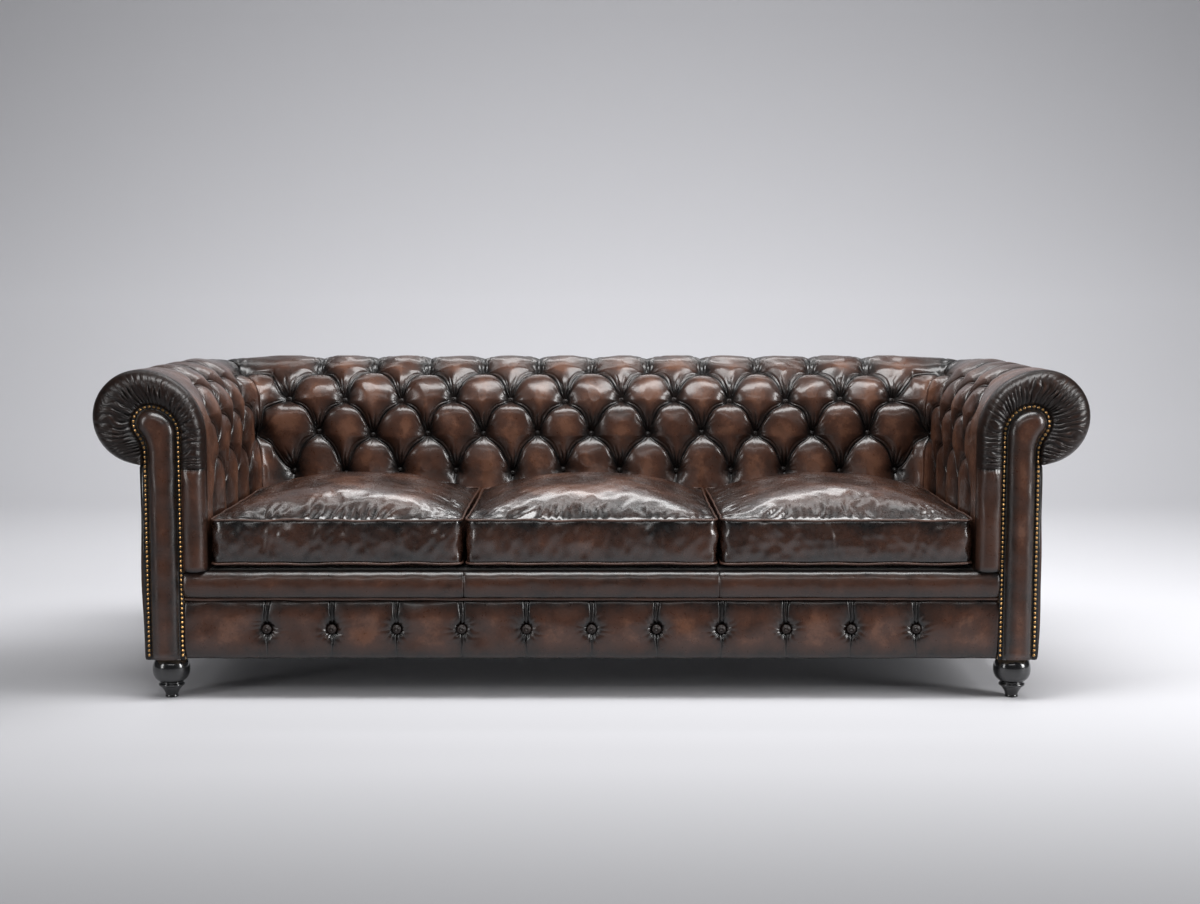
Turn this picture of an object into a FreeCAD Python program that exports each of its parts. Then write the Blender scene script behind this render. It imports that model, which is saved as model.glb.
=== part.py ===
import FreeCAD
import Part
import math
import os

from FreeCAD import Vector

# Three-seat chesterfield sofa, all sizes in millimetres.
# The origin is on the floor at the middle of the sofa, +X to the right in a front view, +Y to the
# back and +Z up.
# Arms and back share one section: a tufted inside face that runs up and over into a scroll.
# A point of that section is (u, z), where u is the depth into the wall from its inside face.

# Overall sizes
overall_width = 2268.0
overall_depth = 930.0
crest_height = 760.0
roll_radius = 107.0
inside_corner_radius = 30.0

# Layers of an arm or back wall, from the seat outwards
leather = 2.0
pad_depth = 91.0
webbing_thickness = 2.0
timber_depth = 46.0
backing_board = 4.0
outside_skin = 5.0

# Heights, from the floor up
base_height = 96.0
rail_cover_height = 140.0
border_height = 64.0
deck_rise = 2.0
deck_depth = 14.0
top_rail_height = 62.0
tuck_below_border = 10.0

# Tufting of arms and back
columns_per_half = 6
arm_plain_strip = 110.0
row_count = 4
first_row_height = 459.0
row_pitch = 99.0
button_dip = 28.0
pleat_dip = 8.0
channel_dip = 5.0
pillow_share = 0.3
button_radius = 10.0
button_seat_depth = 7.5
button_dome = 4.0
button_tip_radius = 0.6
button_clearance = 0.3

# Front of each arm: scroll-headed board, padded facing strip and its nails
facing_crown = 22.0
facing_flange = 3.0
front_board = 20.0
scroll_bulge = 14.0
scroll_spine_inset = 42.0
scroll_spine_lift = 18.0
scroll_peak = 0.6
scroll_pleats = 26
scroll_pleat_dip = 3.0
facing_inner_u = 59.5
facing_outer_u = 136.0
head_top = 677.5
head_outer_radius = 38.0
head_inner_radius = 62.5
nail_margin = 5.0
pad_margin = 7.0
nail_pitch = 10.8
nail_head_radius = 3.6
nail_head_height = 2.6
nail_shank_radius = 0.9
nail_shank_length = 12.0
seam_height = 537.0

# Front rail, its tufted cover, the plain border above it and the deck
front_rail_depth = 28.0
rail_cover_depth = 25.0
rail_edge_depth = 17.0
rail_fold_half = 18.0
rail_channel_dip = 7.0
rail_button_dip = 14.0
rail_button_count = 11
rail_button_pitch = 148.8
border_depth = 29.0
border_low_depth = 17.0
border_top_depth = 15.0
border_turn = 9.6
border_piping_radius = 3.0
dust_cover_thickness = 1.5
dust_cover_margin = 10.0
deck_side_gap = 0.5
skin_gap = 0.3

# Frame
front_post_width = 81.0
front_post_depth = 54.0
upright_width = 46.0
rear_post_side = 40.0
tack_rail_height = 40.0
tack_rail_depth = 22.0
tuck_gap = 24.0
cross_rail_width = 40.0
cross_rail_height = 60.0
brace_leg = 67.0
brace_height = 90.0
top_rail_inset = 2.0
strap_width = 50.0

# Seat springs
spring_wire = 4.0
springs_per_seat = 4
spring_width = 52.0
spring_bar_pitch = 27.0
clip_length = 26.0
clip_width = 22.0
clip_sheet = 1.5

# Feet
foot_y_inset = 70.0
rear_foot_inset = 6.0
foot_neck_radius = 32.0
foot_shoulder_radius = 40.5
foot_shoulder_height = 82.0
foot_bulb_radius = 43.0
foot_bulb_height = 64.0
foot_under_radius = 38.0
foot_under_height = 46.0
foot_waist_radius = 26.5
foot_waist_height = 36.0
foot_ring_radius = 30.0
foot_ring_half = 3.0
foot_ring_round = 1.8
foot_taper_radius = 19.5
foot_taper_height = 18.0
foot_stem_radius = 14.0
foot_stem_height = 6.0
foot_toe_radius = 15.5
stud_radius = 5.0
stud_in_foot = 40.0
stud_in_frame = 45.0

# Seat cushions
cushion_count = 3
arm_clearance = 3.0
cushion_gap = 2.0
back_clearance = 3.0
deck_clearance = 0.3
cushion_overhang = 20.0
cushion_belly = 15.0
belly_inset = 34.0
boxing_height = 100.0
boxing_bulge = 2.5
cushion_crown = 64.0
crown_reach = 240.0
crown_rings = 6
crown_spacing = 1.4
crown_power = 2.6
crown_corner_share = 0.8
cushion_corner = 27.0
side_bow_degrees = 1.3
piping_radius = 2.6
piping_gap = 0.1
cover_thickness = 2.0
core_clearance = 0.4

# Worked out from the sizes above
web_u = leather + pad_depth
timber_u = web_u + webbing_thickness
board_u = timber_u + timber_depth
skin_u = board_u + backing_board
wall = skin_u + outside_skin
seat_half = overall_width / 2 - wall - roll_radius
front_y = -overall_depth / 2
back_y = overall_depth / 2 - wall - roll_radius
arc_z = crest_height - wall
roll_z = crest_height - roll_radius
roll_bottom = crest_height - 2 * roll_radius
rail_cover_top = base_height + rail_cover_height
border_top = rail_cover_top + border_height
deck_top = border_top + deck_rise
deck_bottom = deck_top - deck_depth
frame_top = deck_bottom - spring_wire - clip_sheet
tuck_z = border_top - tuck_below_border
corner_x = seat_half - inside_corner_radius
corner_y = back_y - inside_corner_radius
corner_run = inside_corner_radius * math.pi / 2
column_step = (corner_x + corner_run / 2) / columns_per_half / 2
flange_y = front_y + facing_crown
board_y = flange_y + facing_flange
layer_y = board_y + front_board
spring_front_y = layer_y + front_rail_depth
top_rail_z = arc_z + 0.8 * math.sqrt((wall - web_u) ** 2 - (wall - timber_u) ** 2)
top_rail_bottom = top_rail_z - top_rail_height
rail_end_x = seat_half + facing_inner_u - nail_margin
front_run = corner_x + corner_run + corner_y - layer_y
last_column = int((front_run - arm_plain_strip) / column_step)


def box(x0, x1, y0, y1, z0, z1):
    return Part.makeBox(x1 - x0, y1 - y0, z1 - z0, Vector(x0, y0, z0))


def mirrored(shape):
    return shape.mirror(Vector(0, 0, 0), Vector(1, 0, 0))


def both_sides(shapes):
    """The right-hand pieces with their left-hand twins."""
    return shapes + [mirrored(s) for s in shapes]


def curve(start, middle, end):
    """An arc through three points, or a line where they lie on one."""
    if (middle - start).cross(end - start).Length < 1e-3:
        return Part.LineSegment(start, end).toShape()
    return Part.Arc(start, middle, end).toShape()


def line(start, end):
    return Part.LineSegment(start, end).toShape()


def polygon(points):
    return Part.Face(Part.makePolygon(points + points[:1]))


def loft(wires):
    solid = Part.makeLoft(wires, True, True)
    if solid.Volume < 0:
        solid.reverse()
    return solid


def corner_ring(inner_u, outer_u, z0, z1):
    """A quarter ring around the inside corner at the right rear."""
    base = Vector(corner_x, corner_y, z0)
    up = Vector(0, 0, 1)
    outer = Part.makeCylinder(inside_corner_radius + outer_u, z1 - z0, base, up, 90)
    inner = Part.makeCylinder(inside_corner_radius + inner_u, z1 - z0, base, up, 90)
    return outer.cut(inner)


def write(name, shapes):
    solids = shapes if isinstance(shapes, list) else [shapes]
    found = [s for shape in solids for s in shape.Solids]
    bad = [s for s in found if not s.isValid() or s.Volume <= 0]
    print(f"{name}: {len(found)} solids, {sum(s.Volume for s in found) / 1e6:.3f} litres, {len(bad)} bad")
    Part.makeCompound(found).exportStep(os.path.join("parts", name + ".step"))


# The wall section and the run that carries it round arm, corner and back


def section_point(s, inward=0.0):
    """(u, z) at length s up and over the section, sunk inward from its outer line."""
    if s <= arc_z:
        return inward, s
    quarter = wall * math.pi / 2
    if s <= arc_z + quarter:
        turn = (s - arc_z) / wall
        radius = wall - inward
        return wall - radius * math.cos(turn), arc_z + radius * math.sin(turn)
    turn = (s - arc_z - quarter) / roll_radius
    radius = roll_radius - inward
    return wall + radius * math.sin(turn), roll_z + radius * math.cos(turn)


def station(t):
    """Places (u, z) at run t, which goes from the middle of the back round to the arm's front."""
    side = -1 if t < 0 else 1
    run = abs(t)

    def place(u, z):
        if run <= corner_x:
            return Vector(side * run, back_y + u, z)
        if run <= corner_x + corner_run:
            turn = (run - corner_x) / inside_corner_radius
            reach = inside_corner_radius + u
            return Vector(side * (corner_x + reach * math.sin(turn)), corner_y + reach * math.cos(turn), z)
        return Vector(side * (seat_half + u), corner_y - (run - corner_x - corner_run), z)

    return place


crest_s = arc_z + wall * math.pi / 2
outermost_s = crest_s + roll_radius * math.pi / 2
end_s = crest_s + roll_radius * math.pi
row_s = [first_row_height + row * row_pitch for row in range(row_count)]
levels = [tuck_z] + row_s + [crest_s, outermost_s, end_s]


def column_dip(level, column):
    """How far a column of the lattice sinks at a level: buttons alternate from row to row."""
    if column > last_column or level == len(levels) - 1:
        return 0.0
    if level == 0:
        return channel_dip if column % 2 else 0.0
    if level <= row_count:
        return button_dip if (level - 1 + column) % 2 else 0.0
    return 0.0 if column % 2 else pleat_dip


def dip(level, t):
    place = abs(t) / column_step
    low = math.floor(place + 1e-6)
    share = max(0.0, place - low)
    return (1 - share) * column_dip(level, low) + share * column_dip(level, low + 1)


def tufted_edges(at, t, sink):
    """The tufted line from the tuck up and over to the scroll's underside, sunk below its outer face."""
    edges = []
    for i in range(len(levels) - 1):
        low, high = dip(i, t), dip(i + 1, t)
        middle = (levels[i] + levels[i + 1]) / 2
        edges.append(
            curve(
                at(*section_point(levels[i], low + sink)),
                at(*section_point(middle, pillow_share * (low + high) + sink)),
                at(*section_point(levels[i + 1], high + sink)),
            )
        )
    return edges


def plain_edges(at, inward):
    """The section sunk by one depth, from under the scroll back down to the tuck."""
    stops = [end_s, outermost_s, crest_s, arc_z]
    edges = []
    for start, end in zip(stops, stops[1:]):
        edges.append(
            curve(
                at(*section_point(start, inward)),
                at(*section_point((start + end) / 2, inward)),
                at(*section_point(end, inward)),
            )
        )
    edges.append(line(at(inward, arc_z), at(inward, tuck_z)))
    return edges


def cover_wire(t):
    """One section of the leather: its tufted outer line, and the same line one thickness below."""
    at = station(t)
    edges = tufted_edges(at, t, 0.0)
    edges.append(line(at(*section_point(end_s)), at(*section_point(end_s, leather))))
    edges += reversed(tufted_edges(at, t, leather))
    start, end = section_point(tuck_z, dip(0, t) + leather), section_point(tuck_z, dip(0, t))
    edges.append(line(at(*start), at(*end)))
    return Part.Wire(edges)


def pad_wire(t):
    """One section of the stuffing, from the leather's underside to the webbing."""
    at = station(t)
    edges = tufted_edges(at, t, leather)
    edges.append(line(at(*section_point(end_s, leather)), at(*section_point(end_s, web_u))))
    edges += plain_edges(at, web_u)
    edges.append(line(at(web_u, tuck_z), at(*section_point(tuck_z, dip(0, t) + leather))))
    return Part.Wire(edges)


corner_runs = [corner_x + corner_run * part / 6 for part in range(4)]


def tuft_runs(first, last):
    """Runs of the lattice columns from first to last, with the corner's finer steps."""
    runs = [column * column_step for column in range(first, last + 1)]
    return [t for t in runs if not corner_runs[0] < abs(t) < corner_runs[-1]]


def back_runs():
    inner = tuft_runs(0, 2 * columns_per_half - 1)
    half = inner + corner_runs
    return [-t for t in reversed(half[1:])] + half


def arm_runs():
    corner = [corner_x + corner_run * part / 6 for part in (6, 5, 4, 3)]
    columns = [t for t in tuft_runs(2 * columns_per_half + 1, last_column + 1) if t > corner[0]]
    return [front_run] + list(reversed(columns)) + corner


def button(row, t):
    """A covered button in its pocket, a clearance above the leather's lowest point."""
    at = station(t)
    seat = at(*section_point(row_s[row], button_dip - button_clearance))
    outward = at(*section_point(row_s[row], 0.0)) - seat
    return dome_button(seat, outward)


def dome_button(tip, outward):
    """A dome on a cone that fits the sewn pocket, with its small end at the pocket's lowest point."""
    base = Part.makeCone(button_tip_radius, button_radius, button_seat_depth)
    ball_radius = (button_radius**2 + button_dome**2) / (2 * button_dome)
    ball = Part.makeSphere(ball_radius, Vector(0, 0, button_seat_depth + button_dome - ball_radius))
    keep = Part.makeCylinder(1.5 * button_radius, 2 * button_dome, Vector(0, 0, button_seat_depth))
    solid = base.fuse(ball.common(keep)).removeSplitter()
    solid.Placement = FreeCAD.Placement(tip, FreeCAD.Rotation(Vector(0, 0, 1), outward))
    return solid


def lattice_buttons(first, last):
    return [
        button(row, column * column_step)
        for row in range(row_count)
        for column in range(first, last + 1)
        if (row + column) % 2
    ]


# Arm front: facing outline, board, padded strip, nails, pleated scroll and plain lower front

head_u = facing_inner_u + head_inner_radius
head_low_z = head_top - head_inner_radius
head_high_z = head_top - head_outer_radius
leave_angle = math.radians(40)
leave_u = head_u + head_outer_radius * math.cos(leave_angle)
neck_radius = (leave_u - facing_outer_u) / (1 - math.cos(leave_angle))
neck_u = facing_outer_u + neck_radius
neck_z = head_high_z - (head_outer_radius + neck_radius) * math.sin(leave_angle)


def facing_point(u, z, y):
    return Vector(seat_half + u, y, z)


def head_point(centre_z, radius, angle, y):
    return facing_point(head_u + radius * math.cos(angle), centre_z + radius * math.sin(angle), y)


def facing_edges(margin, y):
    """The strip's outline, grown by margin: up the inside, round the scroll head, down the outside."""
    inner, outer, neck = head_inner_radius + margin, head_outer_radius + margin, neck_radius - margin
    left = facing_point(facing_inner_u - margin, head_low_z, y)
    top = head_point(head_high_z, outer, math.pi / 2, y)
    leave = head_point(head_high_z, outer, -leave_angle, y)
    foot = facing_point(facing_outer_u + margin, neck_z, y)
    half = leave_angle / 2
    middle = facing_point(neck_u - neck * math.cos(half), neck_z + neck * math.sin(half), y)
    low_left = facing_point(facing_inner_u - margin, base_height, y)
    low_right = facing_point(facing_outer_u + margin, base_height, y)
    right = head_point(head_high_z, outer, math.radians(25), y)
    over = head_point(head_high_z, outer, math.radians(57.5), y)
    return [
        line(low_left, left),
        curve(left, head_point(head_low_z, inner, math.radians(135), y), top),
        curve(top, over, right),
        curve(right, head_point(head_high_z, outer, math.radians(-7.5), y), leave),
        curve(leave, middle, foot),
        line(foot, low_right),
    ]


def facing_wire(margin, y):
    edges = facing_edges(margin, y)
    close = line(edges[-1].Vertexes[-1].Point, edges[0].Vertexes[0].Point)
    return Part.Wire(edges + [close])


def facing_plate(margin, y, depth):
    return Part.Face(facing_wire(margin, y)).extrude(Vector(0, depth, 0))


def facing_panel():
    """The padded strip: a nailed flange with a crowned pad between its rows of nails."""
    steps = [(0.0, 0.0), (1.0, 0.42), (5.0, 0.8), (14.0, 1.0)]
    wires = [facing_wire(-pad_margin - inset, flange_y - rise * facing_crown) for inset, rise in steps]
    return facing_plate(nail_margin, flange_y, facing_flange).fuse(loft(wires))


def nail(spot):
    """One domed nail with its shank, seen from the front."""
    dome_r = (nail_head_radius**2 + nail_head_height**2) / (2 * nail_head_height)
    half = math.asin(nail_head_radius / dome_r) / 2
    rim = Vector(nail_head_radius, 0, 0)
    crown = Vector(dome_r * math.sin(half), 0, nail_head_height - dome_r * (1 - math.cos(half)))
    tip = Vector(0, 0, -nail_shank_length)
    outline = Part.makePolygon(
        [rim, Vector(nail_shank_radius, 0, 0), Vector(nail_shank_radius, 0, -0.8 * nail_shank_length), tip]
    ).Edges
    outline.append(line(tip, Vector(0, 0, nail_head_height)))
    outline.append(curve(Vector(0, 0, nail_head_height), crown, rim))
    solid = Part.Face(Part.Wire(Part.__sortEdges__(outline))).revolve(Vector(0, 0, 0), Vector(0, 0, 1), 360)
    solid.Placement = FreeCAD.Placement(spot, FreeCAD.Rotation(Vector(0, 0, 1), Vector(0, -1, 0)))
    return solid


def facing_nails():
    path = Part.Wire(facing_edges(0.0, flange_y))
    count = int(path.Length / nail_pitch)
    margin = nail_head_radius + 1.0
    spots = [p for p in path.discretize(Number=count + 1) if p.z > base_height + margin]
    return [nail(p) for p in spots]


def front_section(inner, outer, bulge):
    """A rounded pad section from inside the board's outline out to the arm's edge, as (u, z) pairs."""
    (iu, iz), (ou, oz) = inner, outer

    def at(share, y):
        return facing_point(iu + (ou - iu) * share, iz + (oz - iz) * share, y)

    start, peak, end = at(0, board_y), at(scroll_peak, board_y - bulge), at(1, layer_y)
    rise = at(0.5 * scroll_peak, board_y - 0.75 * bulge)
    fall = at(scroll_peak + 0.75 * (1 - scroll_peak), board_y - 0.35 * bulge)
    return Part.Wire(
        [
            line(at(0, layer_y), start),
            curve(start, rise, peak),
            curve(peak, fall, end),
            line(end, at(0, layer_y)),
        ]
    )


def spine_point(s):
    """The hidden inner end of the section whose outer end lies at length s of the wall's section."""
    spine_u = facing_inner_u + scroll_spine_inset
    stops = [
        (seam_height, spine_u, seam_height),
        (arc_z, spine_u, head_high_z),
        (crest_s, head_u, head_high_z + scroll_spine_lift),
        (outermost_s, head_u + scroll_spine_lift, head_high_z),
        (end_s, facing_outer_u - nail_margin, roll_bottom),
    ]
    low, high = next((a, b) for a, b in zip(stops, stops[1:]) if s <= b[0] + 1e-6)
    share = (s - low[0]) / (high[0] - low[0])
    return low[1] + share * (high[1] - low[1]), low[2] + share * (high[2] - low[2])


def board_space():
    """The room that the board and the facing's flange take in the arm's front."""
    return facing_plate(nail_margin, front_y, facing_crown + facing_flange + front_board)


def scroll_pad():
    """The pleated ring round the scroll head, from the seam up and over to the roll's underside."""
    count = 2 * scroll_pleats
    wires = []
    for step in range(count + 1):
        s = seam_height + (end_s - seam_height) * step / count
        bulge = scroll_bulge - (step % 2) * scroll_pleat_dip
        wires.append(front_section(spine_point(s), section_point(s), bulge))
    return loft(wires).cut(board_space())


def lower_front():
    """The plain pad between seat cushion and facing strip, under the scroll's seam."""
    spine_u = facing_inner_u + scroll_spine_inset
    face = Part.Face(front_section((spine_u, border_top), (0.0, border_top), scroll_bulge))
    return face.extrude(Vector(0, 0, seam_height - border_top)).cut(board_space())


# Front rail cover, border and deck


rail_face_y = layer_y - rail_cover_depth
rail_middle = base_height + rail_cover_height / 2


def rail_cover_wire(x, edge, waist):
    """The cover's section at x: how far its two bulges and its waist lie behind its foremost face."""
    rear = [Vector(x, layer_y, z) for z in (rail_cover_top, base_height)]
    low = Vector(x, layer_y - rail_edge_depth, base_height)
    high = Vector(x, layer_y - rail_edge_depth, rail_cover_top)
    middle = Vector(x, rail_face_y + waist, rail_middle)
    low_bulge = Vector(x, rail_face_y + edge, rail_middle - rail_cover_height / 3)
    high_bulge = Vector(x, rail_face_y + edge, rail_middle + rail_cover_height / 3)
    return Part.Wire(
        [
            line(rear[1], low),
            curve(low, low_bulge, middle),
            curve(middle, high_bulge, high),
            line(high, rear[0]),
            line(rear[0], rear[1]),
        ]
    )


def rail_button_places():
    return [(k - (rail_button_count - 1) / 2) * rail_button_pitch for k in range(rail_button_count)]


def front_rail_cover():
    """The tufted front panel: an upright channel at each button and pillows between."""
    plain = (0.15 * rail_channel_dip, 0.0)
    shoulder = (0.3 * rail_channel_dip, 0.2 * rail_button_dip)
    channel = (rail_channel_dip, rail_button_dip)
    wires = [rail_cover_wire(-rail_end_x, *shoulder)]
    for x in rail_button_places():
        if x > rail_button_places()[0]:
            wires.append(rail_cover_wire(x - rail_button_pitch / 2, *plain))
        wires.append(rail_cover_wire(x - rail_fold_half, *shoulder))
        wires.append(rail_cover_wire(x, *channel))
        wires.append(rail_cover_wire(x + rail_fold_half, *shoulder))
    wires.append(rail_cover_wire(rail_end_x, *shoulder))
    return loft(wires)


def rail_buttons():
    tip_y = rail_face_y + rail_button_dip - button_clearance
    return [dome_button(Vector(x, tip_y, rail_middle), Vector(0, -1, 0)) for x in rail_button_places()]


def border_piece(x0, x1):
    """One length of the plain padded border that the cushions hang over."""

    def at(depth, z):
        return Vector(x0, layer_y - depth, z)

    middle, turn = (rail_cover_top + border_top) / 2, border_turn
    low, high = at(border_low_depth, rail_cover_top), at(border_top_depth, border_top)
    face = at(border_depth, middle)
    low_depth = border_low_depth + 0.7 * (border_depth - border_low_depth)
    high_depth = border_top_depth + 0.7 * (border_depth - border_top_depth)
    edges = [
        line(at(0, rail_cover_top), low),
        curve(low, at(low_depth, rail_cover_top + turn), face),
        curve(face, at(high_depth, border_top - turn), high),
        line(high, at(0, border_top)),
        line(at(0, border_top), at(0, rail_cover_top)),
    ]
    return Part.Face(Part.Wire(edges)).extrude(Vector(x1 - x0, 0, 0))


def border():
    seam = seat_half / cushion_count
    stops = [-rail_end_x, -seam, seam, rail_end_x]
    return [border_piece(a, b).cut(border_piping()) for a, b in zip(stops, stops[1:])]


def border_piping():
    spot = Vector(-rail_end_x, layer_y - rail_edge_depth - 0.5 * border_piping_radius, rail_cover_top)
    return Part.makeCylinder(border_piping_radius, 2 * rail_end_x, spot, Vector(1, 0, 0))


# Timber frame


def front_post():
    lower = box(seat_half + board_u - front_post_width, seat_half + board_u, layer_y,
                layer_y + front_post_depth, base_height, frame_top)
    upper = box(seat_half + timber_u, seat_half + board_u, layer_y,
                layer_y + front_post_depth, frame_top, top_rail_bottom)
    return lower.fuse(upper).removeSplitter()


def foot_spots():
    """The two right-hand feet: under the front post and under the rear corner block."""
    front = (seat_half + (facing_inner_u + facing_outer_u) / 2, front_y + foot_y_inset)
    return [front, corner_spot(-rear_foot_inset)]


def corner_spot(shift):
    """A place (x, y) on the right rear diagonal, a shift outwards from the middle of the timber."""
    reach = (inside_corner_radius + timber_u + timber_depth / 2 + shift) * math.sqrt(0.5)
    return corner_x + reach, corner_y + reach


def stud(spot):
    """A foot's threaded stud, which also gives its hole in foot and frame."""
    length = stud_in_foot + stud_in_frame
    return Part.makeCylinder(stud_radius, length, Vector(spot[0], spot[1], base_height - stud_in_foot))


def front_brace():
    """A gusset block from the front rail to the side rail, behind the front post."""
    x0, x1 = seat_half + board_u - front_post_width, seat_half + timber_u
    y0, y1, top = spring_front_y, layer_y + front_post_depth, frame_top
    points = [
        Vector(x0 - brace_leg, y0, top),
        Vector(x0, y0, top),
        Vector(x0, y1, top),
        Vector(x1, y1, top),
        Vector(x1, y1 + brace_leg, top),
    ]
    return polygon(points).extrude(Vector(0, 0, -brace_height))


def rear_post():
    """A square post set on the diagonal between the lower and upper corner blocks."""
    half = rear_post_side / 2
    post = box(-half, half, -half, half, frame_top, top_rail_bottom)
    x, y = corner_spot(0.0)
    post.Placement = FreeCAD.Placement(Vector(x, y, 0), FreeCAD.Rotation(Vector(0, 0, 1), 45))
    return post


def arm_posts():
    middle_y = (layer_y + corner_y) / 2
    middle = box(seat_half + timber_u, seat_half + board_u, middle_y - upright_width / 2,
                 middle_y + upright_width / 2, frame_top, top_rail_bottom)
    return [front_post().cut(stud(foot_spots()[0])), middle]


upright_places = [-corner_x / 2, 0.0, corner_x / 2]


def back_uprights():
    half = upright_width / 2
    return [
        box(x - half, x + half, back_y + timber_u, back_y + board_u, frame_top, top_rail_bottom)
        for x in upright_places
    ]


def tack_rails():
    """Short lengths between the uprights and posts, a tuck gap above the seat rails."""
    half = upright_width / 2
    z0, z1 = frame_top + tuck_gap, frame_top + tuck_gap + tack_rail_height
    stops = [-corner_x] + [x + side for x in upright_places for side in (-half, half)] + [corner_x]
    y0 = back_y + timber_u
    rails = [box(a, b, y0, y0 + tack_rail_depth, z0, z1) for a, b in zip(stops[::2], stops[1::2])]
    x0 = seat_half + timber_u
    middle_y = (layer_y + corner_y) / 2
    stops = [layer_y + front_post_depth, middle_y - half, middle_y + half, corner_y]
    arm = [box(x0, x0 + tack_rail_depth, a, b, z0, z1) for a, b in zip(stops[::2], stops[1::2])]
    ring = corner_ring(timber_u, timber_u + tack_rail_depth, z0, z1).cut(rear_post())
    return rails + both_sides(arm + [ring])


def cross_rails():
    half = cross_rail_width / 2
    places = [-seat_half / cushion_count, seat_half / cushion_count]
    z1, rear = base_height + cross_rail_height, back_y + timber_u
    return [box(x - half, x + half, spring_front_y, rear, base_height, z1) for x in places]


def strap_columns(first, last):
    """Runs of the tufting columns that stand over the button rows at the wall's foot."""
    return [column * column_step for column in range(first, last + 1, 2)]


def back_straps():
    half, y0 = strap_width / 2, back_y + web_u
    last = 2 * columns_per_half - 1
    return [
        box(x - half, x + half, y0, y0 + webbing_thickness, tuck_z, arc_z) for x in strap_columns(-last, last)
    ]


def arm_straps():
    half, x0 = strap_width / 2, seat_half + web_u
    places = [station(t)(0, 0).y for t in strap_columns(2 * columns_per_half + 1, last_column)]
    return [box(x0, x0 + webbing_thickness, y - half, y + half, tuck_z, arc_z) for y in places]


# Seat springs


def spring_places():
    count = springs_per_seat * cushion_count
    return [(k - (count - 1) / 2) * 2 * seat_half / count for k in range(count)]


def zigzag_spring(x):
    """One length of zigzag wire from the front rail to the rear rail: bars joined by half turns."""
    z = frame_top + spring_wire / 2
    turn = spring_bar_pitch / 2
    reach = spring_width / 2 - turn
    start = spring_front_y - clip_length / 2
    span = back_y + timber_u + clip_length / 2 - start
    bars = int(span / spring_bar_pitch)
    step = span / bars
    radius = step / 2
    edges = []
    for bar in range(bars + 1):
        side = 1 if bar % 2 else -1
        y = start + bar * step
        edges.append(line(Vector(x - side * reach, y, z), Vector(x + side * reach, y, z)))
        if bar < bars:
            end = Vector(x + side * reach, y + step, z)
            bulge = Vector(x + side * (reach + radius), y + radius, z)
            edges.append(Part.Arc(Vector(x + side * reach, y, z), bulge, end).toShape())
    path = Part.Wire(edges)
    ring = Part.Wire(Part.makeCircle(spring_wire / 2, Vector(x + reach, start, z), Vector(1, 0, 0)))
    return path.makePipeShell([ring], True, False)


def spring_clip(x, y):
    """A sheet clip folded over the spring's end bar."""
    z = frame_top
    width, length, sheet = clip_width / 2, clip_length / 2, clip_sheet
    top = box(x - width, x + width, y - length / 2, y + length / 2, z + spring_wire, z + spring_wire + sheet)
    side = box(x - width, x + width, y - length / 2 - sheet, y - length / 2, z, z + spring_wire + sheet)
    return top.fuse(side).removeSplitter()


def spring_clips():
    front = spring_front_y - clip_length / 2
    rear = back_y + timber_u + clip_length / 2
    return [spring_clip(x, y) for x in spring_places() for y in (front, rear)]


# Feet


def foot(spot):
    """A turned foot: neck, bulb, waist, ring and a tapered stem that flares at the floor."""

    def at(radius, z):
        return Vector(radius, 0, z)

    ring_z = foot_waist_height - 2 * foot_ring_half
    ring_top = at(foot_ring_radius - foot_ring_round, ring_z + foot_ring_half)
    ring_low = at(foot_ring_radius - foot_ring_round, ring_z - foot_ring_half)
    neck, bulb = at(foot_neck_radius, base_height), at(foot_bulb_radius, foot_bulb_height)
    waist, stem = at(foot_waist_radius, foot_waist_height), at(foot_stem_radius, foot_stem_height)
    edges = [
        line(at(0, base_height), neck),
        curve(neck, at(foot_shoulder_radius, foot_shoulder_height), bulb),
        curve(bulb, at(foot_under_radius, foot_under_height), waist),
        line(waist, ring_top),
        curve(ring_top, at(foot_ring_radius, ring_z), ring_low),
        curve(ring_low, at(foot_taper_radius, foot_taper_height), stem),
        line(stem, at(foot_toe_radius, 0)),
        line(at(foot_toe_radius, 0), at(0, 0)),
        line(at(0, 0), at(0, base_height)),
    ]
    solid = Part.Face(Part.Wire(edges)).revolve(Vector(0, 0, 0), Vector(0, 0, 1), 360)
    solid.translate(Vector(spot[0], spot[1], 0))
    return solid.cut(stud(spot))


# Loose seat cushions

cushion_width = (2 * (seat_half - arm_clearance) - (cushion_count - 1) * cushion_gap) / cushion_count
cushion_front = layer_y - cushion_overhang
cushion_back = back_y - back_clearance
cushion_bottom = deck_top + deck_clearance
low_seam = cushion_bottom + cushion_belly
high_seam = low_seam + boxing_height
side_bow = math.radians(side_bow_degrees)


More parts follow.
